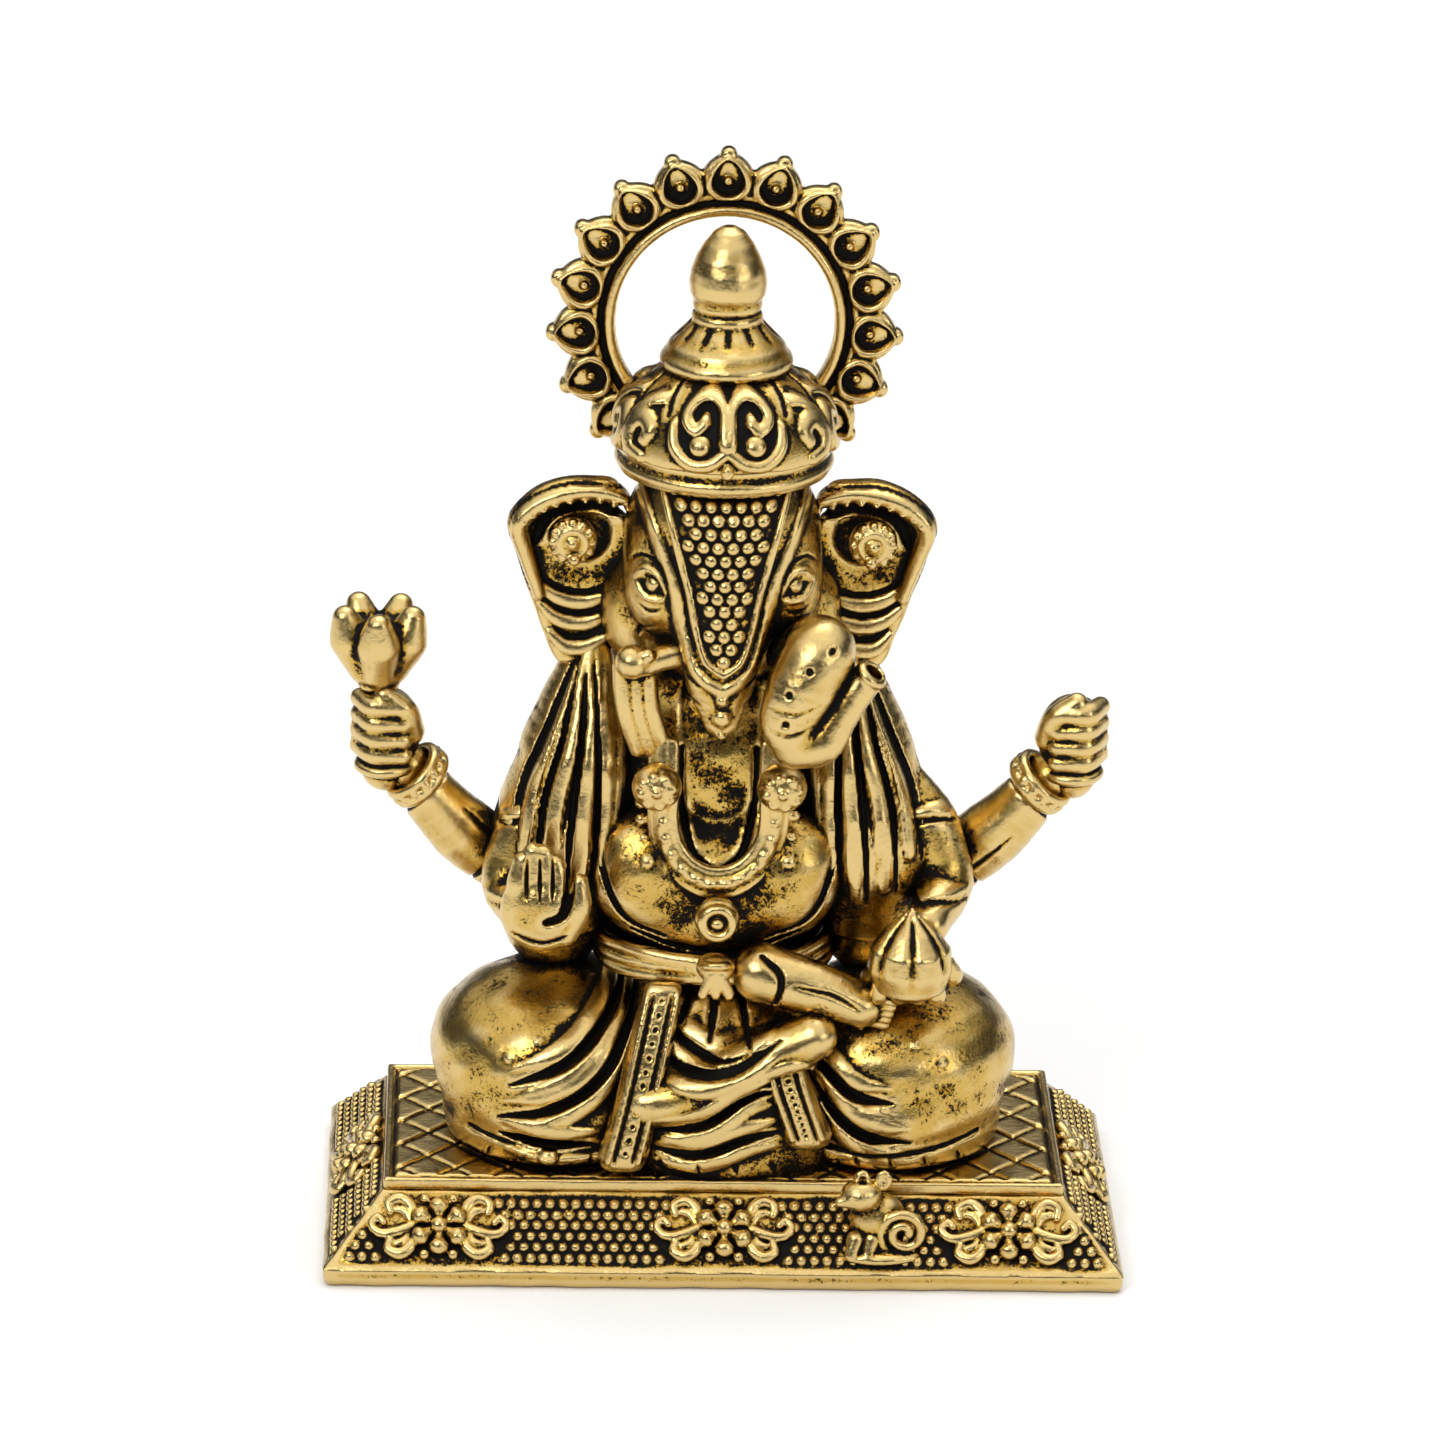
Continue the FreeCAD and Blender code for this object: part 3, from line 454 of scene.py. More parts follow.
def add_room(clay):
    """Adds a clay's solid to the coarse lattice."""
    room = blur((clay.field < 0).astype(np.float32), 1)
    ratio = WORLD_STEP / clay.step
    low = np.maximum(np.ceil(clay.start / ratio).astype(int), world_start)
    high = np.minimum(np.floor((clay.start + clay.field.shape) / ratio).astype(int), world_stop)
    picks = [
        np.clip(np.round(np.arange(a, b) * ratio).astype(int) - s, 0, n - 1)
        for a, b, s, n in zip(low, high, clay.start, clay.field.shape)
    ]
    spans = tuple(slice(a, b) for a, b in zip(low - world_start, high - world_start))
    world[spans] = np.maximum(world[spans], room[np.ix_(*picks)])


def show(name, clay, *nodes, cast=0.0, fine=1.0, grime=0.0):
    """Makes a clay's surface a mesh piece that stands for some CAD nodes."""
    if cast:
        clay.cast(cast)
    grid = openvdb.FloatGrid()
    grid.copyFromArray(clay.field)
    points, _, quads = grid.convertToPolygons(isovalue=0.0, adaptivity=0.0)
    mesh = bpy.data.meshes.new(name)
    loops = quads[:, ::-1].ravel().astype(np.int32)
    mesh.vertices.add(len(points))
    mesh.vertices.foreach_set("co", ((points + clay.start) * clay.step * MM).ravel())
    mesh.loops.add(len(loops))
    mesh.loops.foreach_set("vertex_index", loops)
    mesh.polygons.add(len(quads))
    mesh.polygons.foreach_set("loop_start", np.arange(0, 4 * len(quads), 4, dtype=np.int32))
    mesh.update(calc_edges=True)
    mesh.validate()
    mesh.polygons.foreach_set("use_smooth", np.ones(len(mesh.polygons), bool))
    mesh.materials.append(gold)
    piece = bpy.data.objects.new(name, mesh)
    bpy.context.scene.collection.objects.link(piece)
    near = look_up(blur(clay.field, 2), points)
    casts.append((piece, clay, points, -near / clay.step * fine + grime))
    add_room(clay)
    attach(piece, "root")
    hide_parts(*nodes)


def lay_patina():
    """Stores on every sculpted point how deep in a crevice it lies."""
    tight, wide = blur(world, 1), blur(world, 4)
    for piece, clay, points, fine in casts:
        places = (points + clay.start) * clay.step / WORLD_STEP - world_start
        crevice = 1.7 * (look_up(tight, places) - 0.5) + 1.8 * (look_up(wide, places) - 0.5)
        depth = piece.data.attributes.new("depth", "FLOAT", "POINT")
        depth.data.foreach_set("value", (fine + crevice).astype(np.float32))


# Materials

BRIGHT, AMBER, RUBBED = (0.57, 0.375, 0.092), (0.46, 0.235, 0.012), (0.67, 0.49, 0.20)
BLACK = (0.006, 0.005, 0.004)
FLOOR_TONES = (0.93, 0.93, 0.93), (0.95, 0.95, 0.95)


class Graph:
    """The shader nodes of a material or a world."""

    def __init__(self, owner):
        owner.use_nodes = True
        self.tree = owner.node_tree

    def join(self, node, **inputs):
        """Sets a node's inputs, or links other nodes' outputs to them."""
        for name, value in inputs.items():
            self.fill(node.inputs[name.replace("_", " ")], value)
        return node

    def fill(self, socket, value):
        if isinstance(value, bpy.types.NodeSocket):
            self.tree.links.new(value, socket)
        else:
            socket.default_value = (*value, 1) if isinstance(value, tuple) else value

    def node(self, kind, **inputs):
        return self.join(self.tree.nodes.new("ShaderNode" + kind), **inputs)

    def math(self, kind, a, b):
        node = self.node("Math")
        node.operation = kind
        for socket, value in zip(node.inputs, (a, b)):
            self.fill(socket, value)
        return node.outputs[0]

    def plus(self, a, b):
        return self.math("ADD", a, b)

    def minus(self, a, b):
        return self.math("SUBTRACT", a, b)

    def times(self, a, b):
        return self.math("MULTIPLY", a, b)

    def noise(self, size, detail=4.0, rough=0.6):
        """Noise whose features are about this many millimetres across."""
        place = self.node("TexCoord").outputs["Object"]
        scale = 1 / (size * MM)
        noise = self.node("TexNoise", Vector=place, Scale=scale, Detail=detail, Roughness=rough)
        return noise.outputs[0]

    def ramp(self, value, low, high):
        node = self.node("MapRange", Value=value, From_Min=low, From_Max=high)
        node.interpolation_type = "SMOOTHSTEP"
        return node.outputs["Result"]

    def mix(self, share, a, b):
        node = self.node("Mix")
        node.data_type = "RGBA"
        return self.join(node, Factor=share, A=a, B=b).outputs["Result"]


def antique_gold():
    """Gold plate that is bright where hands rub it, amber in the hollows and black in crevices."""
    material = bpy.data.materials.new("antique_gold_aged")
    graph = Graph(material)
    attribute = graph.node("Attribute")
    attribute.attribute_name = "depth"
    depth = attribute.outputs["Fac"]
    speckle = graph.minus(graph.noise(0.30, 6.0, 0.85), 0.5)
    blotch = graph.minus(graph.noise(2.2, 3.0), 0.5)
    ragged = graph.plus(graph.times(speckle, 3.0), blotch)
    black = graph.ramp(graph.plus(depth, ragged), 0.08, 0.18)
    amber = graph.ramp(graph.plus(depth, blotch), -0.05, 0.30)
    rubbed = graph.ramp(graph.plus(depth, graph.times(speckle, 0.5)), -0.10, -0.45)
    plate = graph.mix(rubbed, graph.mix(amber, BRIGHT, AMBER), RUBBED)
    haze = graph.plus(graph.times(graph.noise(1.1, 4.0), 0.22), 0.04)
    skin = graph.plus(graph.times(graph.noise(0.3, 6.0, 0.7), 0.6), graph.noise(1.3, 2.0))
    bump = graph.node("Bump", Strength=0.6, Distance=0.09 * MM, Height=skin)
    graph.join(
        graph.tree.nodes["Principled BSDF"],
        Base_Color=graph.mix(black, plate, BLACK),
        Metallic=graph.minus(1.0, graph.times(black, 0.9)),
        Specular_IOR_Level=graph.minus(0.5, graph.times(black, 0.42)),
        Roughness=graph.plus(graph.times(black, 0.4), haze),
        Normal=bump.outputs["Normal"],
    )
    return material


def floor_white():
    material = bpy.data.materials.new("floor_white")
    graph = Graph(material)
    tone = graph.mix(graph.ramp(graph.noise(60.0), 0.2, 0.8), *FLOOR_TONES)
    graph.join(graph.tree.nodes["Principled BSDF"], Base_Color=tone, Roughness=0.9)
    return material


gold = antique_gold()


# The crown and the halo behind it


LEAVES = range(-7, 8)
LEAF_ANGLE = 19


def make_halo():
    """An open ring with fifteen leaf-shaped cups, each with a bead in it."""
    place = Place("halo")
    radius = place.half[0]
    hub = place.mid + (0, 0, place.high[2] - radius - place.mid[2])
    clay = Clay(place.low - 0.5, place.high + 0.5, FINE_STEP)
    x, y, z = clay.everywhere()
    out = np.hypot(x - hub[0], z - hub[2])
    inner = radius * 0.615
    plate = np.maximum(inner - out, out - radius * 0.86)
    middle = hub[[0, 2]]
    sheet = Relief(middle - radius - 1, middle + radius + 1, 0.05)
    circle = np.linspace(0, 2 * math.pi, 145)
    hoop = np.column_stack([np.cos(circle), np.sin(circle)])
    sheet.bar(middle + hoop * (inner + 0.36), 0.7, 0.3)
    sheet.bar(middle + hoop * (inner + 0.98), 0.46, -0.3)
    for number in LEAVES:
        angle = math.radians(LEAF_ANGLE * number)
        way = np.array([math.sin(angle), math.cos(angle)])
        side = np.array([way[1], -way[0]])
        seat, tip = radius * 0.835, radius
        across = (x - hub[0]) * side[0] + (z - hub[2]) * side[1]
        along = (x - hub[0]) * way[0] + (z - hub[2]) * way[1]
        reach = tip - 0.5 - seat
        share = np.clip((along - seat) / reach, 0, 1)
        gap = np.hypot(across, along - seat - reach * share)
        plate = blend_min(plate, gap - (1.70 - 1.12 * share**2.2), 0.3)
        wall = [(0, 1.36), (0.56, 0.9), (1.2, 0.1), (1.14, -0.8), (0, -1.42)]
        wall += [(-a, b) for a, b in wall[-2::-1]]
        outline = [middle + way * (seat + b) + side * a for a, b in wall]
        sheet.line(outline, 0.5, 0.3)
        for share in np.linspace(0, 1, 7):
            cup = middle + way * (seat - 0.2 + share * 1.2)
            sheet.bar([cup, cup + way * 0.03], 2.1 - 1.55 * share**1.6, -0.75)
    thick = np.abs(y - hub[1]) - place.half[1] * 0.8
    clay.field[:] = blend_max(plate, thick, 0.35)
    facing = smooth(0.1, -0.1, y - hub[1])
    behind = smooth(0.1, 0.3, y - hub[1]) * 0.45
    clay.press(sheet.sample(x, z) * (facing + behind), within=1.0)
    for number in LEAVES:
        angle = math.radians(LEAF_ANGLE * number)
        bead = hub + np.array([math.sin(angle), 0, math.cos(angle)]) * radius * 0.815
        clay.add(ball(bead - (0, place.half[1] * 0.25, 0), 0.32), 0.1)
    show("halo_leaves", clay, "halo", cast=0.02)


def round_relief(clay, sheet, axis, radius):
    """Presses a relief wrapped round an upright axis: u is the arc from the front middle."""
    x, y, z = clay.everywhere()
    arc = np.arctan2(x - axis[0], -(y - axis[1])) * radius
    clay.press(sheet.sample(arc, z + 0 * arc), within=1.0)


def scroll_panel(sheet, u, z, small=1.0):
    """The middle ornament: two ram's-horn lobes over two balls, a spread scroll and a drop."""
    for side in BOTH:

        def at(*points):
            return [(u + side * a * small * 1.25, z + b * small) for a, b in points]

        lobe = at(
            (0.2, 0.2), (0.3, 2.1), (1.2, 3.0), (2.4, 2.7), (2.9, 1.6), (2.2, 0.75), (1.55, 1.2),
        )
        sheet.line(lobe, 1.15 * small, 0.5, taper=0.1)
        sheet.dot(at((1.6, 1.3))[0], 0.55 * small, 0.5)
        sheet.dot(at((1.75, -0.35))[0], 0.85 * small, 0.5)
        under = at((3.7, 0.8), (3.3, -0.7), (2.3, -1.75), (1.1, -1.7), (0.1, -0.8))
        sheet.line(under, 1.1 * small, 0.46, taper=0.2)
    sheet.dot((u, z - 0.1 * small), 0.8 * small, 0.5)
    sheet.bar([(u, z - 1.6 * small), (u, z - 2.9 * small)], 1.05 * small, 0.6, taper=0.75)


def make_dome():
    dome = Place("crown_dome")
    axis, radius, waist = dome.mid, dome.half[0], dome.low[2]
    rise = dome.high[2] - waist
    clay = Clay(dome.low - 0.9, dome.high + 0.6)
    clay.add(egg((axis[0], axis[1], waist), (radius, radius, rise * 1.18)))
    clay.trim(dome.low[2] - 0.2, dome.high[2] + 0.1)
    half_round = math.pi * radius
    sheet = Relief((-half_round, dome.low[2] - 1), (half_round, dome.high[2] + 1))
    scroll_panel(sheet, 0, dome.low[2] + rise * 0.40, 0.88)
    for side in BOTH:
        for number, arc in enumerate((6.5, 10.2, 13.9, 17.7, 21.6)):
            flip = -1 if number % 2 else 1
            base = waist + rise * 0.36
            curl = [(0, -1.6), (1.1, -1.2), (1.4, 0), (0.5, 0.9), (-0.5, 0.4), (-0.2, -0.4)]
            sheet.line([(side * (arc + a * flip), base + b) for a, b in curl], 1.4, 0.44, taper=0.3)
            back_curl = [(1.9, -0.9), (1.5, 0.9), (0.6, 1.9), (-0.6, 2.1)]
            sheet.line([(side * (arc + a), base + b) for a, b in back_curl], 1.15, 0.4, taper=0.5)
            line = [(side * (arc - 1.6), base + 1.3), (side * (arc - 0.7), base + 3.0)]
            sheet.line(line, 0.3, -0.3)
    round_relief(clay, sheet, axis, radius)
    show("scrolled_dome", clay, "crown_dome", cast=0.025)


def make_band():
    band = Place("crown_band")
    axis, radius = Place("crown_dome").mid, Place("crown_dome").half[0]
    clay = Clay(band.low - 0.7, band.high + 0.5)
    ring_z = band.low[2]
    tall = band.high[2] - band.low[2]
    clay.add(disc(band.mid, Z_AXIS, radius * 0.955, tall * 0.46, 0.3))
    clay.add(ring((axis[0], axis[1], ring_z + tall * 0.36), Z_AXIS, radius * 0.925, 0.42), 0.1)
    clay.add(ring((axis[0], axis[1], ring_z + tall * 0.86), Z_AXIS, radius * 0.935, 0.3), 0.1)
    show("brow_band", clay, "crown_band", cast=0.03)


def make_tier():
    axis, tier = Place("crown_dome").mid, Place("crown_tier")
    clay = Clay(tier.low - 0.8, tier.high + 0.4)
    z0, top = tier.low[2], tier.high[2]
    rim = tier.half[0]
    profile = [
        (z0 - 0.5, rim * 0.75),
        (z0 + 0.5, rim * 0.93),
        (z0 + 1.0, rim * 0.95),
        (z0 + 1.6, rim * 0.88),
        (z0 + 2.4, rim * 0.70),
        (top - 0.3, rim * 0.55),
        (top + 0.2, rim * 0.53),
    ]
    clay.add(lathe(axis, profile))
    clay.add(ring((axis[0], axis[1], z0 + 0.5), Z_AXIS, rim * 0.87, 0.62), 0.15)
    x, y, z = clay.everywhere()
    turn = np.arctan2(x - axis[0], -(y - axis[1]))
    flutes = np.abs(np.cos(turn * 6)) ** 6 * smooth(z0 + 1.7, z0 + 2.6, z) * 0.16
    clay.press(-flutes, within=1.0)
    show("flared_tier", clay, "crown_tier", cast=0.03)


def make_finial():
    axis, finial = Place("crown_dome").mid, Place("crown_finial")
    clay = Clay(finial.low - 0.6, finial.high + 0.4)
    wide, z0, top = finial.half[0], finial.low[2], finial.high[2]
    clay.add(ring((axis[0], axis[1], z0), Z_AXIS, wide * 0.74, 0.55))
    clay.add(disc((axis[0], axis[1], z0 + 0.5), Z_AXIS, wide * 0.84, 0.9, 0.3))
    clay.add(ring((axis[0], axis[1], z0 + 0.85), Z_AXIS, wide * 0.76, 0.42), 0.1)
    bulb = [
        (z0 + 1.0, wide * 0.88),
        (z0 + 1.7, wide * 1.02),
        (z0 + 2.4, wide * 1.05),
        (z0 + 3.2, wide * 1.0),
        (z0 + 4.1, wide * 0.86),
        (z0 + 5.0, wide * 0.66),
        (top - 0.45, wide * 0.42),
        (top - 0.1, wide * 0.16),
    ]
    clay.add(lathe(axis, bulb), 0.1)
    show("finial_bulb", clay, "crown_finial", cast=0.04)


make_halo()
make_dome()
make_band()
make_tier()
make_finial()


# The elephant head


def face_masses(clay, head, swell=0.0):
    clay.add(egg(head.by(0, 0.2, 1.4), np.array([6.5, 5.9, 6.2]) + swell))
    for side in BOTH:
        clay.add(egg(head.by(side * 3.7, -1.9, -1.4), np.array([2.8, 3.4, 3.7]) + swell), 1.4)
        clay.add(egg(head.by(side * 2.4, -3.3, 3.3), np.array([2.4, 2.4, 2.6]) + swell), 1.4)
    trunk = head.each((0, -2.8, 1.5), (0, -4.0, -3.4), (-0.1, -5.1, -6.8), (0, -5.7, -9.7))
    clay.run(trunk, np.array([4.0, 3.15, 2.4, 1.25]) + swell, 1.3)


# Brow to lip, the upper and lower lid, the folds above and below them, and the eye's hollow:
# width, height and taper of each line, then its points
FACE_LINES = (
    (0.9, 0.26, 0.0, (5.9, 5.6), (4.5, 2.3), (3.3, -0.6), (2.75, -3.6), (1.9, -6.0), (0.2, -7.2)),
    (0.42, 0.24, 0.7, (3.75, -1.35), (4.3, -0.05), (5.2, 0.25), (6.0, -0.5)),
    (0.36, 0.2, 0.7, (3.75, -1.4), (4.5, -1.75), (5.4, -1.5), (6.0, -0.6)),
    (0.26, -0.2, 0.8, (3.6, -0.6), (4.3, 0.75), (5.4, 1.0), (6.3, 0.2)),
    (0.26, -0.16, 0.8, (3.9, -2.2), (4.8, -2.6), (5.8, -2.1)),
    (0.9, -0.2, 0.6, (4.05, -1.1), (5.6, -0.6)),
)


def make_face():
    head = Place("head")
    trunk = Place("trunk")
    low = np.minimum(head.low, trunk.low) - (1, 2, 2)
    clay = Clay(low, head.high + (1, 0.5, 0.5))
    face_masses(clay, head)
    clay.add(egg(head.by(0, 1.4, -4.6), (5.0, 4.4, 5.6)), 1.4)
    for side in BOTH:
        clay.add(egg(head.by(side * 5.4, 0.8, -4.4), (2.6, 2.6, 3.8)), 1.0)
    middle = head.mid[[0, 2]]
    sheet = Relief(middle - (8, 12), middle + (8, 9), origin=middle)
    for side in BOTH:
        sheet.draw(FACE_LINES, side)
        sheet.dot((4.75, -0.75), 0.42, 0.36, side=side)
        sheet.line([(4.2, -3.6), (5.2, -4.4), (5.6, -5.6)], 0.3, -0.16, taper=0.8, side=side)
    for height, size in ((-7.9, 0.42), (-9.3, 0.62), (-10.6, 0.36)):
        sheet.dot((0, height), size, 0.42)
    for height in (-7.0, -8.5, -9.9):
        for side in BOTH:
            sheet.line([(1.5, height), (2.3, height + 0.4)], 0.22, -0.14, side=side)
    clay.press_front(sheet, head.mid[1])
    show("elephant_face", clay, "head", "trunk", cast=0.03)


def make_net():
    """The pearl net: a pointed cloth that hangs from the crown over the brow and down the trunk."""
    head = Place("head")
    clay = Clay(head.by(-6.4, -8.5, -7), head.by(6.4, 0, 6.4), FINE_STEP)
    face_masses(clay, head, 0.28)
    x, y, z = clay.everywhere()
    middle = head.mid[[0, 2]]
    half = [(0, -6.0), (1.25, -5.1), (1.95, -2.9), (2.35, -0.8), (3.1, 1.9), (4.2, 5.9)]
    outline = middle + np.array(half + [(-a, b) for a, b in half[:0:-1]])
    wedge = outline_gap(x[:, 0, :], z[:, 0, :], outline)[:, None, :]
    wedge = np.maximum(wedge, y - head.mid[1] + 2.4)
    clay.field[:] = blend_max(clay.field, wedge, 0.25)
    sheet = head.sheet((7, 8), 0.05)
    for side in BOTH:
        sheet.line(half, 0.62, 0.30, side=side)
    pitch = 0.98
    for row in range(-7, 8):
        height = row * pitch * 0.866
        limit = np.interp(height, [b for a, b in half], [a for a, b in half]) - 0.72
        for column in range(-6, 7):
            across = (column + 0.5 * (row % 2)) * pitch
            if abs(across) <= limit and height > -5.1:
                sheet.dot((across, height), 0.46, 0.34)
    clay.press_front(sheet, head.mid[1])
    show("pearl_net", clay, "forehead_net", grime=0.02)


EAR = [
    (2.9, 6.2), (1.0, 6.5), (-1.2, 6.3), (-3.2, 5.2), (-4.4, 3.5), (-3.9, 1.4), (-3.0, -1.4),
    (-1.9, -4.4), (-1.0, -6.3), (0.4, -6.3), (2.1, -5.2), (3.6, -3.2), (4.4, 0.0), (4.2, 3.6),
]


def make_ears():
    for side, name in SIDES:
        place = Place(f"{name}_ear")
        clay = Clay(place.by(-6, -2.6, -7.6), place.by(6, 2.6, 7.6))
        x, y, z = clay.everywhere()
        middle = place.mid[[0, 2]]

        outline = closed_path(middle + np.array(EAR) * (-side, 1))
        fan = outline_gap(x[:, 0, :], z[:, 0, :], outline)[:, None, :]
        bow = 0.035 * ((x - middle[0]) ** 2 + 0.5 * (z - middle[1]) ** 2) - 0.5
        thick = np.abs(y - place.mid[1] + bow) - 0.85
        clay.field[:] = blend_max(fan, thick, 0.6)
        sheet = place.sheet(8)
        rim = [
            (3.6, 5.3), (1.4, 5.7), (-0.9, 5.4), (-2.7, 4.5), (-3.6, 3.2), (-3.1, 1.2), (-2.2, -1.6),
        ]
        sheet.line(rim, 1.35, 0.85, taper=0.35, side=-side)
        line = [(3.6, 4.2), (1.4, 4.5), (-0.6, 4.2), (-2.0, 3.4), (-2.5, 2.2)]
        sheet.line(line, 1.0, -0.6, taper=0.3, side=-side)
        sheet.bar([(0.4, 2.7), (0.5, 2.6)], 4.0, -0.5, side=-side)
        folds = (
            ((-2.6, 0.2), (-1.2, -1.1), (0.8, -1.5), (3.2, -0.6)),
            ((-2.2, -1.6), (-0.9, -2.7), (0.9, -2.9), (2.9, -2.0)),
            ((-1.6, -3.5), (-0.4, -4.5), (0.9, -4.5), (2.2, -3.8)),
        )
        for fold in folds:
            sheet.line(fold, 0.36, -0.24, taper=0.8, side=-side)
            sheet.line([(a, b - 0.7) for a, b in fold], 1.1, 0.3, taper=0.6, side=-side)
        for share in np.linspace(0, 1, 9):
            bead = path(rim, 12)[int(share * 40)]
            sheet.dot(bead + (-0.1, -0.45), 0.26, 1.1, side=-side)
        clay.press_front(sheet, place.mid[1] + 0.4, 1.6)
        show(f"{name}_fan_ear", clay, f"{name}_ear", cast=0.04, grime=0.04)


def make_studs():
    place, clay = block("ear_studs", 1.2)
    for side in BOTH:
        stud = place.at(side * 0.865, 0, -0.25)
        clay.add(egg(stud + (0, 0.1, 0), (1.62, 1.1, 1.62)))
        clay.add(ring(stud + (0, -0.75, 0), Y_AXIS, 0.92, 0.18), 0.1)
        clay.cut(ring(stud + (0, -1.0, 0), Y_AXIS, 0.62, 0.12), 0.08)
        clay.add(ball(stud + (0, -0.85, 0), 0.42), 0.1)
        for a, b in spokes(12):
            clay.add(ball(stud + (1.32 * a, -0.5, 1.32 * b), 0.3), 0.08)
        clay.add(ball(stud + (side * -0.15, -0.9, -1.1), 0.42), 0.05)
    show("domed_studs", clay, "ear_studs", cast=0.02)


def make_curl():
    """The end of the trunk, which hangs beside the face, turns and shows its open tip."""
    place, clay = block("trunk_curl", (1.5, 2, 1.5), (1.5, 3, 1.5))
    upper = [
        (-1.4, 2.4, 1.4), (0.1, 0.6, 2.6), (-0.9, -0.3, 0.6), (-1.8, -0.7, -1.8), (-1.4, -0.7, -3.4),
    ]
    clay.run(place.each(*upper), (1.9, 2.45, 2.35, 1.9, 1.6), 0.3)
    lower = [
        (-1.4, -0.7, -3.4), (0.2, -0.5, -3.3), (1.3, -0.3, -1.8), (2.3, -0.2, -0.3), (3.3, -0.1, 1.0),
    ]
    clay.run(place.each(*lower), (1.6, 1.6, 1.35, 1.15, 1.1), 0.15)
    tip = place.by(3.4, -0.2, 1.15)
    way = np.array([0.62, -0.25, 0.76])
    clay.add(ring(tip + way * 0.25, way, 0.85, 0.32), 0.15)
    clay.cut(rod(tip - way * 0.6, tip + way * 2, 0.62), 0.1)
    sheet = place.sheet(8)
    for number in range(2):
        height = -0.3 - number * 1.5
        left, right = -3.6 - number * 0.1, 0.3 - number * 0.25
        wrinkle = [(left, height), ((left + right) / 2, height - 0.35), (right, height + 0.2)]
        sheet.line(wrinkle, 0.3, -0.1, taper=0.8)
    for across, height in ((0.9, 3.4), (-0.6, 2.2), (-1.9, 0.6), (-2.1, -1.4)):
        sheet.dot((across, height), 0.28, -0.25)
    clay.press_front(sheet, place.mid[1] + 1.5)
    show("curled_trunk_end", clay, "trunk_curl", cast=0.05)


def make_tusk():
    tusk, tassel = Place("tusk"), Place("tusk_tassel")
    clay = Clay(tusk.low - (2.5, 2.5, 5.5), tusk.high + (2, 2, 2))
    end = tassel.mid
    line = [tusk.by(2.6, 0.5, 0.2), tusk.by(0.6, 0, -0.1), end + (0.8, -0.3, 0.7)]
    clay.run(line, (1.0, 0.85, 0.8), 0.2)
    clay.add(ball(end + (-0.1, -0.5, 0.9), 1.15), 0.25)
    clay.add(ball(end + (0.9, -0.9, 1.5), 0.5), 0.2)
    for lean in (-0.5, 0.35, 1.2):
        top = end + (lean - 0.3, 0.2, 0.3)
        foot = end + (lean + 0.9, 0.6, -5.6)
        clay.run([top, (top + foot) / 2 + (-0.3, -0.35, 0), foot], (0.62, 0.66, 0.6), 0.12)
    show("tusk_with_tassel", clay, "tusk", "tusk_tassel", cast=0.03)


make_face()
make_net()
make_ears()
make_studs()
make_curl()
make_tusk()


# The body: torso, shawls, necklace, arms and hands


def make_torso():
    place, clay = block("torso")
    clay.add(egg(place.at(0, 0.12, 0.30), (7.4, 5.4, 7.6)))
    clay.add(egg(place.at(0, 0.0, -0.42), (8.3, 6.5, 6.2)), 1.2)
    for side in BOTH:
        clay.add(egg(place.at(side * 0.5, -0.5, -0.30), (3.9, 3.4, 4.4)), 0.9)
    sheet = place.sheet(12)
    for side in BOTH:
        sheet.line([(2.5, 5.5), (2.4, 1.5), (1.6, -1.4), (0.2, -2.5)], 0.45, -0.35, side=side)
        line = [(7.6, 3.2), (7.9, -1.0), (6.4, -5.4), (3.4, -7.4)]
        sheet.line(line, 0.5, -0.45, taper=0.3, side=side)
        sheet.line([(5.6, -6.9), (3.2, -8.1), (0.4, -8.6)], 0.5, -0.4, taper=0.3, side=side)
        sheet.dot((4.7, -1.5), 0.42, 0.2, side=side)
    sheet.bar([(0, 8.5), (0, 3.2)], 5.2, -0.3)
    clay.press_front(sheet, place.mid[1])
    back = place.sheet(12)
    for number in range(5):
        height = 6.5 - number * 2.9
        drape = [(-7.5, height + 2.2), (-3.2, height), (3.2, height), (7.5, height + 2.2)]
        back.line(drape, 1.7, 0.36, taper=0.5)
        back.line([(a, b - 1.1) for a, b in drape], 0.5, -0.4, taper=0.6)
    x, y, z = clay.everywhere()
    clay.press(back.sample(x, z) * smooth(place.mid[1] + 0.5, place.mid[1] + 2.0, y), 1.4)
    show("rounded_torso", clay, "torso", cast=0.10, fine=1.2, grime=0.2)


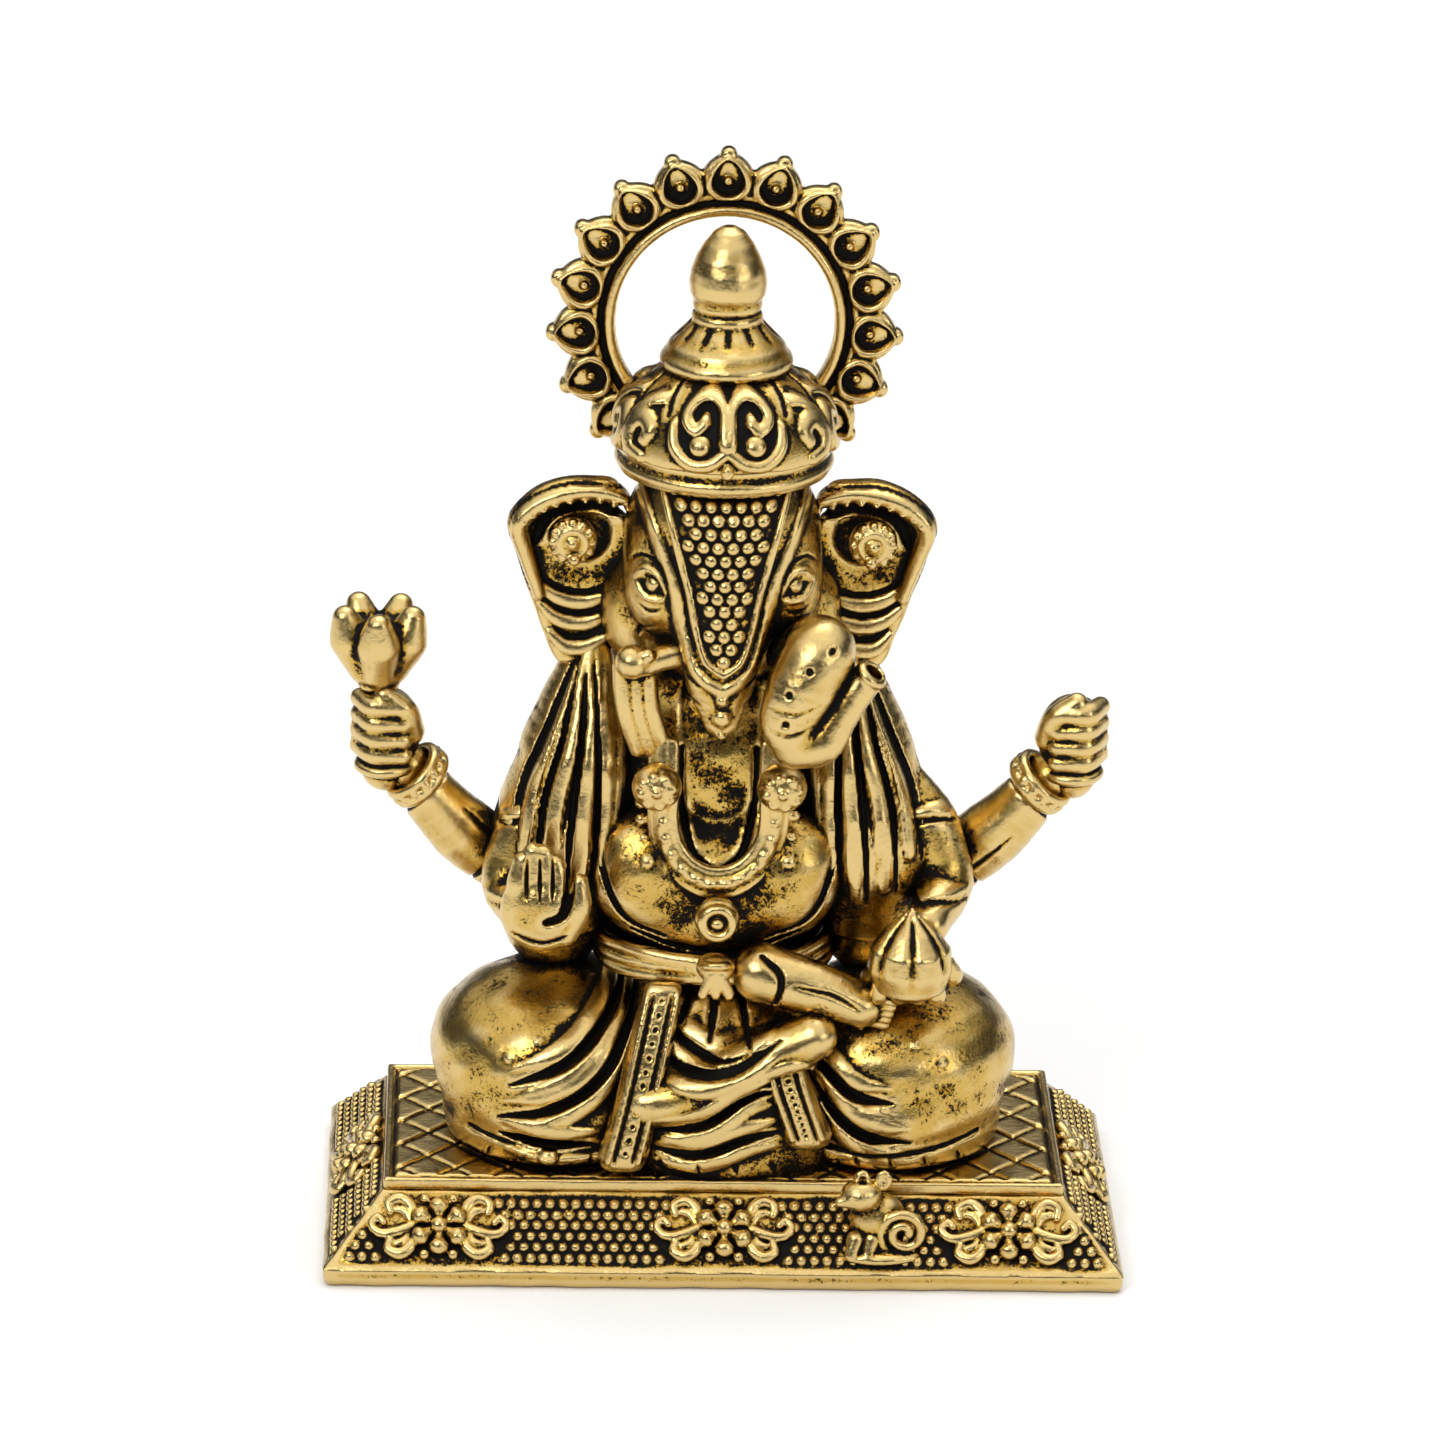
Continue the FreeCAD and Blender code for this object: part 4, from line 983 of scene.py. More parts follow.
def make_shawls():
    for side, name in SIDES:
        place, clay = block(f"{name}_shawl", (1.6, 1, 4.5), 1.6)
        lean = [
            (-1.0, 0.6, 8.4), (-0.9, -0.1, 5.4), (-0.2, -0.8, 1.4), (0.3, -1.0, -3.2), (0.4, -0.6, -7.4),
        ]
        spine = [place.by(side * a, b, c) for a, b, c in lean]
        clay.run(spine, (1.8, 2.9, 4.0, 4.1, 2.4), 0.8)
        clay.add(egg(place.at(-side * 0.3, 0.25, 0.0), (4.2, 4.9, 7.6)), 1.5)
        clay.add(egg(place.at(side * 0.2, -0.1, -0.45), (4.6, 4.8, 5.6)), 1.8)
        clay.add(egg(place.at(side * 0.25, 0.15, -1.0), (3.7, 4.0, 4.6)), 2.0)
        sheet = place.sheet(12)
        folds = (
            ((-2.0, 10.4), (-2.4, 4.2), (-2.4, -1.0), (-2.0, -6.6)),
            ((-1.6, 10.4), (-1.3, 4.8), (-0.7, -0.8), (-0.3, -6.8)),
            ((-1.3, 10.2), (-0.1, 4.8), (1.2, -0.2), (1.6, -5.8)),
            ((-1.0, 9.6), (1.0, 4.8), (2.6, 0.8), (3.3, -3.6)),
        )
        for number, fold in enumerate(folds):
            sheet.line(fold, 1.5 - 0.15 * number, 0.42, taper=0.3, side=side)
            groove = [(a + 0.82, b - 0.5) for a, b in fold]
            sheet.line(groove, 0.42 + 0.12 * (number % 2), -0.5, taper=0.7, side=side)
        sheet.line([(0.2, 6.6), (1.6, 2.8), (2.7, -1.0)], 0.34, -0.3, taper=0.8, side=side)
        sheet.line([(-0.6, 3.2), (0.2, 0.2), (0.9, -3.4)], 0.34, -0.3, taper=0.8, side=side)
        sheet.line([(-3.0, 6.0), (-3.1, 1.0), (-2.4, -5.0)], 0.9, 0.45, taper=0.2, side=side)
        for number in range(7):
            share = number / 6
            sheet.dot((-2.55 + 0.2 * share, 5.4 - 9.2 * share), 0.24, 0.32, side=side)
        x, y, z = clay.everywhere()
        facing = smooth(0.25, 0.65, np.abs(np.gradient(clay.field, clay.step, axis=1)))
        clay.press(sheet.sample(x, z) * facing, 1.4)
        show(f"{name}_folded_shawl", clay, f"{name}_shawl", cast=0.07, fine=1.1, grime=0.09)


def make_necklace():
    band = Place("necklace_band")
    clay = Clay(band.low - 1.6, band.high + 1.6)
    middle = band.mid
    reach = band.half[0] - 1.0

    def at(angle, radius, lift=0.0):
        turn = math.radians(min(abs(angle), 90)) * (1 if angle > 0 else -1)
        across = radius * 0.86 * math.sin(turn)
        height = -radius * math.cos(turn) + max(abs(angle) - 90, 0) * 0.085
        sink = 0.05 * across**2 + 0.03 * max(height, 0) ** 2
        return np.array([middle[0] + across, middle[1] + sink - lift - 0.1, middle[2] + height])

    for radius, thick in ((reach + 0.6, 0.42), (reach - 0.95, 0.34)):
        clay.run([at(a, radius) for a in range(-150, 151, 20)], thick, 0.1)
    clay.run([at(a, reach - 0.16) for a in range(-150, 151, 20)], 0.62, 0.25)
    for angle in range(-88, 89, 16):
        clay.add(ball(at(angle, reach - 0.16, 0.42), 0.36), 0.08)
    for angles, out in ((range(-100, -30, 13), 1.5), (range(46, 110, 15), 1.4)):
        for angle in angles:
            clay.add(ball(at(angle, reach + out, 0.1), 0.42), 0.06)
    show("beaded_necklace", clay, "necklace_band", cast=0.03, grime=0.05)


def make_medallions():
    for name in ("left", "right"):
        place, clay = block(f"{name}_medallion", 0.8, step=FINE_STEP)
        clay.add(egg(place.mid, (1.65, 1.5, 1.65)))
        clay.add(ball(place.by(0, -1.3, 0.05), 0.42), 0.1)
        for a, b in spokes(8, 11):
            clay.add(ball(place.by(a, -0.95, b), 0.4), 0.1)
        show(f"{name}_bead_flower", clay, f"{name}_medallion", cast=0.03)


def make_pendant():
    place, clay = block("necklace_drop", 0.8, step=FINE_STEP)
    clay.add(egg(place.by(0, 0.1, 0), (1.5, 1.0, 1.5)))
    clay.add(ring(place.by(0, -0.8, 0), Y_AXIS, 0.98, 0.34), 0.1)
    clay.cut(ring(place.by(0, -1.1, 0), Y_AXIS, 0.55, 0.16), 0.05)
    clay.add(egg(place.by(0, -0.95, 0), (0.45, 0.35, 0.38)), 0.05)
    show("ring_pendant", clay, "necklace_drop", cast=0.03)


def make_knot():
    place, clay = block("waist_knot", 0.9)
    clay.add(egg(place.by(0, 0.1, 0.3), (1.35, 1.2, 1.0)))
    clay.add(ring(place.by(0, -0.45, 0.5), np.array([0, 0.5, 1.0]), 0.75, 0.3), 0.1)
    for lean in (-0.55, 0.0, 0.55):
        end = place.each((lean * 0.5, -0.7, 0.1), (lean * 1.6, -0.75, -1.35))
        clay.run(end, (0.42, 0.36), 0.05)
    show("waist_tie", clay, "waist_knot", cast=0.04)


def make_sash():
    place, clay = block("waist_sash", 0.8)
    width, depth = place.half[0] - 1.5, place.half[1] - 1.2
    clay.add(egg(place.mid, (width - 0.3, depth - 0.3, 1.5)))
    for number, height in enumerate((-0.62, 0.0, 0.62)):
        turn = np.linspace(0, 2 * math.pi, 37)
        wave = height + 0.18 * np.sin(3 * turn + number)
        loop = np.column_stack([width * np.cos(turn), depth * np.sin(turn), wave])
        clay.run(place.mid + loop, 0.5, 0.2)
    show("wrapped_sash", clay, "waist_sash", cast=0.05, fine=1.2, grime=0.2)


def rear_arm_ends(side, place):
    return place.at(-side * 0.30, 0.35, -0.62), place.at(side * 0.78, -0.30, 0.72)


def make_arms():
    for side, name in SIDES:
        place, clay = block(f"rear_{name}_arm")
        root = place.at(-side * 0.72, 0.1, 0.20)
        elbow, wrist = rear_arm_ends(side, place)
        clay.run([root, (root + elbow) / 2 + (0, 0.2, 0.2), elbow], (2.5, 2.55, 2.2), 0.3)
        clay.run([elbow, (elbow + wrist) / 2 + (side * 0.3, 0, -0.5), wrist], (2.2, 2.3, 1.65), 0.3)
        sheet = place.sheet(14)
        start, end = elbow[[0, 2]] - sheet.origin, wrist[[0, 2]] - sheet.origin
        way = (end - start) / np.linalg.norm(end - start)
        across = np.array([-way[1], way[0]])
        for share in (0.12, 0.24, 0.80):
            spot = start + (end - start) * share
            crease = [spot - across * 2.6, spot + way * 0.4, spot + across * 2.6]
            sheet.line(crease, 0.5, -0.28, taper=0.3)
        seam = [start - across * 0.8 - way, start + (end - start) * 0.6 - across]
        sheet.line(seam, 0.4, -0.22, taper=0.5)
        clay.press_front(sheet, place.mid[1] + 1.5, 1.3)
        clay.add(ball(elbow + np.array([side * 0.4, -2.1, 0.6]), 0.55), 0.15)
        show(f"rear_{name}_modelled_arm", clay, f"rear_{name}_arm", cast=0.05, grime=0.04)

        place, clay = block(f"front_{name}_arm")
        root = place.at(-side * 0.75, 0.5, 0.52)
        elbow = place.at(side * 0.30, 0.10, -0.40)
        wrist = place.at(-side * 0.1, -0.72, -0.62)
        line = [root, (root + elbow) / 2 + (side * 0.4, 0, 0.5), elbow, wrist]
        clay.run(line, (1.7, 2.1, 2.0, 1.45), 0.5)
        sheet = place.sheet(9)
        for height in (2.4, -2.4):
            fold = [(-2.4, height - 0.5), (0, height + 0.2), (2.4, height - 0.3)]
            sheet.line(fold, 0.8, 0.22, taper=0.5)
            sheet.line([(a, b - 0.7) for a, b in fold], 0.36, -0.2, taper=0.6)
        clay.press_front(sheet, place.mid[1] + 1.2, 1.3)
        show(f"front_{name}_sleeve", clay, f"front_{name}_arm", cast=0.06, grime=0.06)


def make_fists():
    """The raised rear hands: each closes its fingers round what it holds."""
    for side, name in SIDES:
        place, clay = block(f"rear_{name}_hand")
        clay.add(egg(place.by(0, 0.4, 0.0), (2.35, 1.9, 2.8)))
        clay.add(rod(place.by(0, 0.2, -2.7), place.by(0, 0.1, -1.0), 1.7, 1.9), 0.6)
        for number in range(4):
            height = 2.0 - number * 1.12
            start = place.by(side * 1.75, 0.1, height + 0.15)
            bend = place.by(side * 0.7, -1.35, height + 0.05)
            end = place.by(-side * 1.1, -1.2, height - 0.12)
            clay.run([start, bend, end], (0.66, 0.8, 0.66), 0.2)
        thumb = place.each(
            (-side * 1.6, -0.3, 0.0), (-side * 1.2, -0.9, 1.6), (side * 0.1, -1.1, 2.75),
        )
        clay.run(thumb, (1.0, 0.9, 0.75), 0.2)
        clay.add(ring(place.by(0, 0.1, -2.55), Z_AXIS, 1.75, 0.4), 0.1)
        show(f"rear_{name}_fist", clay, f"rear_{name}_hand", cast=0.04, grime=0.06)


PALM_FORWARD = 1.3


def make_palm():
    """The open right palm that blesses: four fingers together and a thumb set apart."""
    place, clay = block("front_right_hand")
    clay.add(egg(place.by(0, 0.0, -1.0), (2.8, 1.6, 2.8)))
    for number in range(4):
        across = -1.55 + number * 0.9
        height = (2.5, 3.15, 3.05, 2.4)[number]
        base = place.by(across * 0.9, 0.0, -0.8)
        knuckle = place.by(across * 0.95, -0.15, height * 0.45)
        tip = place.by(across * 0.8 - 0.1, -0.05, height)
        clay.run([base, knuckle, tip], (0.95, 0.88, 0.66), 0.22)
    thumb = place.each((1.5, -0.2, -2.4), (2.35, -0.4, -0.7), (2.45, -0.25, 1.1))
    clay.run(thumb, (1.0, 0.9, 0.62), 0.12)
    clay.field = np.roll(clay.field, -round(PALM_FORWARD / clay.step), axis=1)
    sheet = place.sheet(5)
    groove = [(1.75, 1.9), (1.7, 0.4), (1.3, -0.9), (0.3, -1.3)]
    sheet.line(groove, 0.7, -0.75, taper=0.2)
    for across in (-1.05, -0.2, 0.65):
        sheet.bar([(across, 2.9), (across * 1.02, 0.2)], 0.22, -0.25, taper=0.4)
    sheet.line([(-1.9, -2.3), (0.0, -2.9), (1.6, -2.4)], 0.35, -0.3, taper=0.4)
    clay.press_front(sheet, place.mid[1] + 0.8, 1.2)
    show("open_palm", clay, "front_right_hand", cast=0.05, grime=0.05)


def make_offering_hand():
    place, clay = block("front_left_hand")
    clay.add(egg(place.by(0, 0.3, -0.3), (3.1, 1.9, 1.5)))
    for number in range(4):
        across = -1.9 + number * 1.25
        start = place.by(across, 1.0, -1.0)
        knee = place.by(across * 1.02, -1.35, -0.9)
        tip = place.by(across * 0.95, -1.75, 0.75)
        clay.run([start, knee, tip], (0.72, 0.68, 0.52), 0.06)
    thumb = place.each((2.4, 0.6, -0.2), (2.95, -0.9, 0.4), (2.6, -1.4, 1.5))
    clay.run(thumb, (0.8, 0.7, 0.5), 0.06)
    show("offering_hand", clay, "front_left_hand", cast=0.05, grime=0.05)


def make_modak():
    place, clay = block("modak_sweet", 0.8)
    width, rise = place.half[0], place.half[2]
    profile = [
        (place.low[2] - 0.9, width * 0.45),
        (place.low[2] - 0.2, width * 0.86),
        (place.low[2] + rise * 0.45, width * 1.02),
        (place.low[2] + rise * 0.95, width * 0.96),
        (place.low[2] + rise * 1.40, width * 0.62),
        (place.low[2] + rise * 1.70, width * 0.28),
        (place.high[2] - 0.2, width * 0.1),
    ]
    clay.add(lathe(place.mid, profile))
    x, y, z = clay.everywhere()
    turn = np.arctan2(x - place.mid[0], -(y - place.mid[1]))
    pleats = -0.26 * np.abs(np.cos(turn * 3.5)) ** 9
    clay.press(pleats * smooth(place.low[2], place.mid[2], z), within=1.0)
    show("pleated_modak", clay, "modak_sweet", cast=0.03, grime=0.04)


def make_lotus():
    place, clay = block("lotus_bud", 0.8, 0.6)
    width, rise = place.half[0], place.high[2] - place.low[2]
    clay.add(rod(place.by(0, 0, -rise / 2), place.by(0, 0, -rise * 0.1), 1.0, 1.5))
    clay.add(ring(place.by(0, 0, -rise * 0.42), Z_AXIS, 1.05, 0.36), 0.1)
    for a, b in spokes(5, -90):
        way = np.array([a, b, 0])
        low = place.by(0, 0, -rise * 0.18) + way * 0.9
        waist = place.by(0, 0, rise * 0.16) + way * (width * 0.60)
        tip = place.by(0, 0, rise * 0.44) + way * (width * 0.78)
        clay.run([low, waist, tip], (1.3, 1.5, 0.85), 0.3)
    clay.add(egg(place.by(0, 0, rise * 0.06), (width * 0.78, width * 0.78, rise * 0.33)), 0.3)
    clay.cut(rod(place.by(0, 0, rise * 0.32), place.by(0, 0, rise), 0.4, 1.3), 0.25)
    show("lotus_petals", clay, "lotus_bud", cast=0.05, grime=0.04)


def make_bangles():
    place, clay = block("wrist_bangles", 0.8)
    for side, name in SIDES:
        elbow, wrist = rear_arm_ends(side, Place(f"rear_{name}_arm"))
        way = (wrist - elbow) / np.linalg.norm(wrist - elbow)
        spot = np.array([place.mid[0] + side * (place.half[0] - 2.35), place.mid[1], place.mid[2]])
        for shift, wire in ((-0.5, 0.42), (0.35, 0.36)):
            clay.add(ring(spot + way * shift, way, 1.95, wire), 0.06)
        flat = np.cross(way, Y_AXIS)
        flat /= np.linalg.norm(flat)
        other = np.cross(way, flat)
        for a, b in spokes(14):
            clay.add(ball(spot - way * 0.08 + (flat * a + other * b) * 2.05, 0.36), 0.05)
    show("beaded_bangles", clay, "wrist_bangles", cast=0.03)


make_torso()
make_shawls()
make_necklace()
make_medallions()
make_pendant()
make_knot()
make_sash()
make_arms()
make_fists()
make_palm()
make_offering_hand()
make_modak()
make_lotus()
make_bangles()


# Crossed legs and the cloth over them


def add_grooves(sheet, lines, width=0.85, deep=0.8):
    """Folds in heavy cloth: a cut that dies out at its ends, between two soft rolls of cloth."""
    for line in lines:
        line = np.array(line, float)
        for shift in (-1.15, 1.25):
            sheet.line(line + (0, width * shift), width * 1.7, deep * 0.42, taper=0.9)
        sheet.line(line, width, -deep, taper=0.8)


def make_thighs():
    folds = {
        "right": [
            [(-6.4, 18.0), (-8.2, 16.2), (-10.8, 14.0), (-14.4, 12.4)],
            [(-5.3, 18.2), (-6.6, 15.8), (-8.4, 13.0), (-11.5, 11.0), (-15.1, 10.1)],
            [(-15.1, 8.9), (-12.0, 8.5), (-8.2, 8.2)],
        ],
        "left": [
            [(4.6, 15.0), (6.6, 13.6), (8.6, 12.0), (11.2, 11.6)],
            [(5.8, 12.6), (7.6, 10.4), (9.6, 9.2), (12.4, 8.8)],
        ],
    }
    for side, name in SIDES:
        place, clay = block(f"{name}_thigh")
        radii = place.half * (1, 0.97, 0.97) + (0.9, 0, 0)
        clay.add(egg(place.at(0, 0, 0.02), radii))
        floor = place.low[2] + 0.3
        hem = place.half[0] * 0.98
        clay.add(disc((place.mid[0], place.mid[1] - 0.6, floor + 1.0), Z_AXIS, hem, 1.1, 0.9), 1.1)
        skirt = (hem, place.half[1] * 0.96, 3.4)
        clay.add(egg((place.mid[0], place.mid[1] - 0.4, floor + 3.2), skirt), 1.6)
        if side == RIGHT:
            clay.add(ball((place.mid[0] - 0.5, place.mid[1] - 0.7 - hem, floor + 1.2), 0.6), 0.08)
        clay.trim(floor=place.low[2])
        sheet = Relief((-22, 4), (22, 22))
        add_grooves(sheet, folds[name])
        for number in range(5):
            across = side * (6.4 + number * 2.3)
            sheet.bar([(across, 7.7), (across + side * 0.3, 6.7)], 0.3, -0.16, taper=0.6)
        sheet.line([(side * 5, 8.1), (side * 11, 7.8), (side * 17, 8.6)], 0.5, -0.3, taper=0.3)
        for across, height in ((9.0, 16.3), (12.6, 15.4), (10.6, 11.4), (14.5, 14.2)):
            sheet.dot((side * across, height), 0.27, 0.14)
        clay.press_front(sheet, place.mid[1] + 1.5, 1.6)
        x, y, z = clay.everywhere()
        back = Relief((-22, 4), (22, 22))
        for n in (0, 1):
            fold = [(side * 4, 14 - n * 2.6), (side * 9, 12.4 - n * 2.2), (side * 15, 12 - n)]
            add_grooves(back, [fold])
        clay.press(back.sample(x, z) * smooth(place.mid[1] + 1.5, place.mid[1] + 4, y), 1.6)
        show(f"{name}_knee_cloth", clay, f"{name}_thigh", cast=0.09, fine=1.3, grime=0.05)


PEG_LENGTH = 1.4


def make_lap():
    place, clay = block("lap_cloth")
    base = place.low[2] + PEG_LENGTH
    radii = (place.half[0] + 0.5, place.half[1] - 0.2, (place.high[2] - base) * 0.72)
    clay.add(egg((place.mid[0], place.mid[1], base + 4), radii))
    shin = [(-5.2, 11.2), (-1.6, 12.2), (2.4, 14.4), (5.8, 16.2)]
    clay.run([(a, place.low[1] + 1.7, b) for a, b in shin], (1.7, 1.9, 1.9, 1.6), 0.6)
    clay.trim(floor=base)
    sheet = Relief((-14, 4), (14, 24))
    folds = [
        [(-4.6, 17.4), (-3.2, 15.6), (-0.6, 14.6), (2.2, 15.6)],
        [(-4.9, 14.8), (-2.6, 13.9), (0.4, 14.2), (3.6, 16.4)],
        [(-4.9, 9.6), (-1.6, 10.2), (1.4, 12.2), (3.9, 12.6)],
        [(-5.0, 8.3), (-2.0, 8.0), (1.2, 9.2), (3.8, 9.6)],
        [(1.8, 12.9), (4.4, 13.6), (6.4, 12.4)],
    ]
    add_grooves(sheet, folds, 0.75, 0.65)
    for lean in (-1.9, -0.6, 0.8):
        sheet.line([(lean, 19.0), (lean * 1.4, 17.2), (lean * 1.9, 15.6)], 0.5, -0.4, taper=0.4)
    for number in range(4):
        across = -4.4 + number * 2.5
        sheet.bar([(across, 7.5), (across + 0.3, 6.6)], 0.32, -0.18, taper=0.6)
    clay.press_front(sheet, place.mid[1] + 1.0, 1.6)
    show("lap_drape", clay, "lap_cloth", cast=0.08, fine=1.2, grime=0.08)


def make_foot():
    place, clay = block("crossed_foot", 1.2)
    heel, arch = place.at(-0.72, 0.1, 0.42), place.at(-0.05, -0.05, 0.05)
    ball_of_foot = place.at(0.62, -0.1, -0.42)
    clay.run([heel, arch, ball_of_foot], (2.0, 1.85, 1.5), 0.3)
    for number in range(5):
        start = ball_of_foot + (0.3, -0.5 + number * 0.15, 0.95 - number * 0.48)
        end = start + (1.9 - number * 0.14, -0.1, -0.35)
        clay.run([start, end], (0.5, 0.42), 0.06)
    sheet = place.sheet(8)
    sheet.line([(-3.6, 2.6), (-2.3, 1.4), (-2.6, -0.6)], 0.5, -0.42, taper=0.3)
    sheet.line([(-1.4, 0.9), (1.2, 0.2), (3.0, -0.9)], 0.35, -0.22, taper=0.5)
    clay.press_front(sheet, place.mid[1] + 1, 1.2)
    show("bare_foot", clay, "crossed_foot", cast=0.04, grime=0.03)


def make_strips():
    """The two cloth ends that hang down in front, each with a punched middle line."""
    paths = {
        "right": [(-4.3, -6.9, 18.6), (-5.1, -8.1, 15.0), (-5.9, -9.0, 11.4), (-6.8, -9.5, 7.7)],
        "left": [(3.6, -8.5, 15.4), (4.2, -8.9, 13.0), (4.9, -9.1, 11.0), (5.5, -9.1, 9.3)],
    }
    for name, points in paths.items():
        place, clay = block(f"{name}_fold", (1.6, 1.4, 1.2))
        points = [np.array(p) for p in points]
        for shift in (-0.7, 0.0, 0.7):
            strand = [p + (shift, 0.15 * abs(shift) + 0.25, 0) for p in points]
            clay.run(strand, (0.65, 0.8, 0.85, 0.95), 0.5)
        sheet = Relief(place.mid[[0, 2]] - 9, place.mid[[0, 2]] + 9)
        line = path([p[[0, 2]] for p in points], 12)
        sheet.bar(line + (1.05, 0), 0.46, 0.24)
        sheet.bar(line - (1.05, 0), 0.46, 0.24)
        sheet.bar(line + (0.6, 0), 0.26, -0.18)
        sheet.bar(line - (0.6, 0), 0.26, -0.18)
        for spot in line[1::3]:
            sheet.dot(spot, 0.2, -0.2)
        clay.press_front(sheet, place.mid[1] + 1.0, 1.2)
        show(f"{name}_punched_strip", clay, f"{name}_fold", cast=0.04, grime=0.05)


# The pedestal, its beaded slopes and the slab on top


RIM_RISE = 1.6
RIM_STEP = 0.3
WALL = 1.6
BEAD_PITCH = 0.86
ROW_PITCH = BEAD_PITCH * 0.88
ROSETTE_PITCH = 19.0


class Slope:
    """One of the four sloping bands: u runs along it, v runs up it, lift stands off it."""

    def __init__(self, out_axis, sign):
        base, slab_top = Place("pedestal"), Place("seat_slab")
        self.along = np.array([1.0, 0, 0]) if out_axis == 1 else np.array([0, 1.0, 0])
        foot = base.half[out_axis] - RIM_STEP
        crest = slab_top.half[out_axis]
        run, rise = foot - crest, base.high[2] - RIM_RISE
        self.length = math.hypot(run, rise)
        outward = np.zeros(3)
        outward[out_axis] = sign
        self.out = (outward * rise + Z_AXIS * run) / self.length
        self.up = (Z_AXIS * rise - outward * run) / self.length
        self.start = base.mid * (1, 1, 0) + outward * foot + Z_AXIS * RIM_RISE
        self.reach = base.half[1 - out_axis] - RIM_STEP
        self.shrink = run / self.length

    def at(self, u, v, lift=0.0):
        return self.start + self.along * u + self.up * v + self.out * lift

    def gap(self, x, y, z):
        return sum(n * (p - c) for n, p, c in zip(self.out, (x, y, z), self.start))

    def flat(self, x, y, z):
        spot = (x, y, z)
        u = sum(n * (p - c) for n, p, c in zip(self.along, spot, self.start))
        v = sum(n * (p - c) for n, p, c in zip(self.up, spot, self.start))
        return u, v


SLOPES = {
    "front": Slope(1, -1),
    "rear": Slope(1, 1),
    "left_end": Slope(0, 1),
    "right_end": Slope(0, -1),
}


def rosette_spots(name):
    return (-ROSETTE_PITCH, 0.0, ROSETTE_PITCH) if name in ("front", "rear") else (0.0,)


def slope_sheet(name):
    """Beads on one sloping band, left out where the rosettes are."""
    slope = SLOPES[name]
    sheet = Relief((-slope.reach - 1, -1), (slope.reach + 1, slope.length + 1), 0.06)
    rows = int((slope.length - 0.5) / ROW_PITCH)
    for row in range(rows):
        height = 0.55 + row * BEAD_PITCH * 0.88
        limit = slope.reach - slope.shrink * height - 0.5
        count = int(limit / BEAD_PITCH)
        for column in range(-count, count + 1):
            across = (column + 0.5 * (row % 2)) * BEAD_PITCH
            nearest = min(abs(across - spot) for spot in rosette_spots(name))
            if abs(across) < limit and nearest > 4.6 - 0.35 * abs(height - slope.length / 2) ** 1.5:
                sheet.dot((across, height), 0.34, 0.34)
    return sheet


def make_pedestal():
    base = Place("pedestal")
    clay = Clay(base.low - 0.8, base.high + 0.8, WIDE_STEP)
    x, y, z = clay.everywhere()
    gaps = {name: slope.gap(x, y, z) + 0 * x * y * z for name, slope in SLOPES.items()}
    bank = np.maximum(np.maximum.reduce(list(gaps.values())), z - base.high[2])
    bank = np.maximum(bank, RIM_RISE - 0.4 - z)
    rim = slab(base.low, (base.high[0], base.high[1], RIM_RISE), 0.6)[0](x, y, z)
    clay.field[:] = blend_min(bank, rim, 0.2)
    for name, slope in SLOPES.items():
        u, v = slope.flat(x, y, z)
        others = np.maximum.reduce([gap for other, gap in gaps.items() if other != name])
        mine = smooth(0.0, 0.3, gaps[name] - others) * smooth(-0.1, 0.25, v)
        clay.press(slope_sheet(name).sample(u, v) * mine, within=0.9)
    clay.cast(0.05)
    hollow_low = base.low + (WALL + 1.5, WALL + 1.5, -1)
    hollow_high = np.array(
        [base.high[0] - WALL - 1.5, base.high[1] - WALL - 1.5, base.high[2] - WALL]
    )
    clay.cut(slab(hollow_low, hollow_high, 0.3), 0.1)
    clay.trim(floor=base.low[2])
    show("beaded_pedestal", clay, "pedestal", fine=1.5, grime=0.22)


def add_rosette(clay, slope, u):
    """A six-petalled flower with nested curling leaves and a tendril on each side."""
    v = slope.length / 2
    clay.add(ball(slope.at(u, v, 0.6), 0.6))
    for a, b in spokes(6, 30):
        inner, outer = (slope.at(u + r * a, v + r * b, 0.36) for r in (0.85, 1.32))
        clay.add(rod(inner, outer, 0.4, 0.7), 0.03)
    for side in BOTH:

        def curl(points, lift, radii, tilt=1):
            line = [slope.at(u + side * a, v + tilt * b, lift) for a, b in points]
            clay.run(line, radii, 0.04)

        for tilt in BOTH:
            leaf = [(1.7, 0.6), (1.9, 1.45), (2.6, 1.95), (3.35, 1.6), (3.25, 1.0)]
            curl(leaf, 0.25, (0.3, 0.42, 0.42, 0.36, 0.3), tilt)
            curl([(1.9, 0.4), (2.25, 1.0), (2.75, 1.2)], 0.22, (0.28, 0.34, 0.3), tilt)
        tendril = [(1.8, 0), (2.8, -0.4), (3.9, -0.5), (4.5, 0.1), (4.1, 0.65), (3.7, 0.3)]
        curl(tendril, 0.22, (0.4, 0.4, 0.34, 0.3, 0.28, 0.28))
        for height in (1.95, -1.95):
            clay.add(ball(slope.at(u + side * 0.95, v + height, 0.25), 0.36), 0.05)


def make_ornaments():
    for node, names in (
        ("front_rosettes", ["front"]),
        ("rear_rosettes", ["rear"]),
        ("end_rosettes", ["left_end", "right_end"]),
    ):
        for number, (name, u) in enumerate((n, u) for n in names for u in rosette_spots(n)):
            slope = SLOPES[name]
            middle = slope.at(u, slope.length / 2)
            reach = np.abs(slope.along) * 5.2 + (1 - np.abs(slope.along)) * 3.0
            clay = Clay(middle - reach, middle + reach, FINE_STEP)
            add_rosette(clay, slope, u)
            show(f"{node}_{number}", clay, node, cast=0.02, grime=0.03)


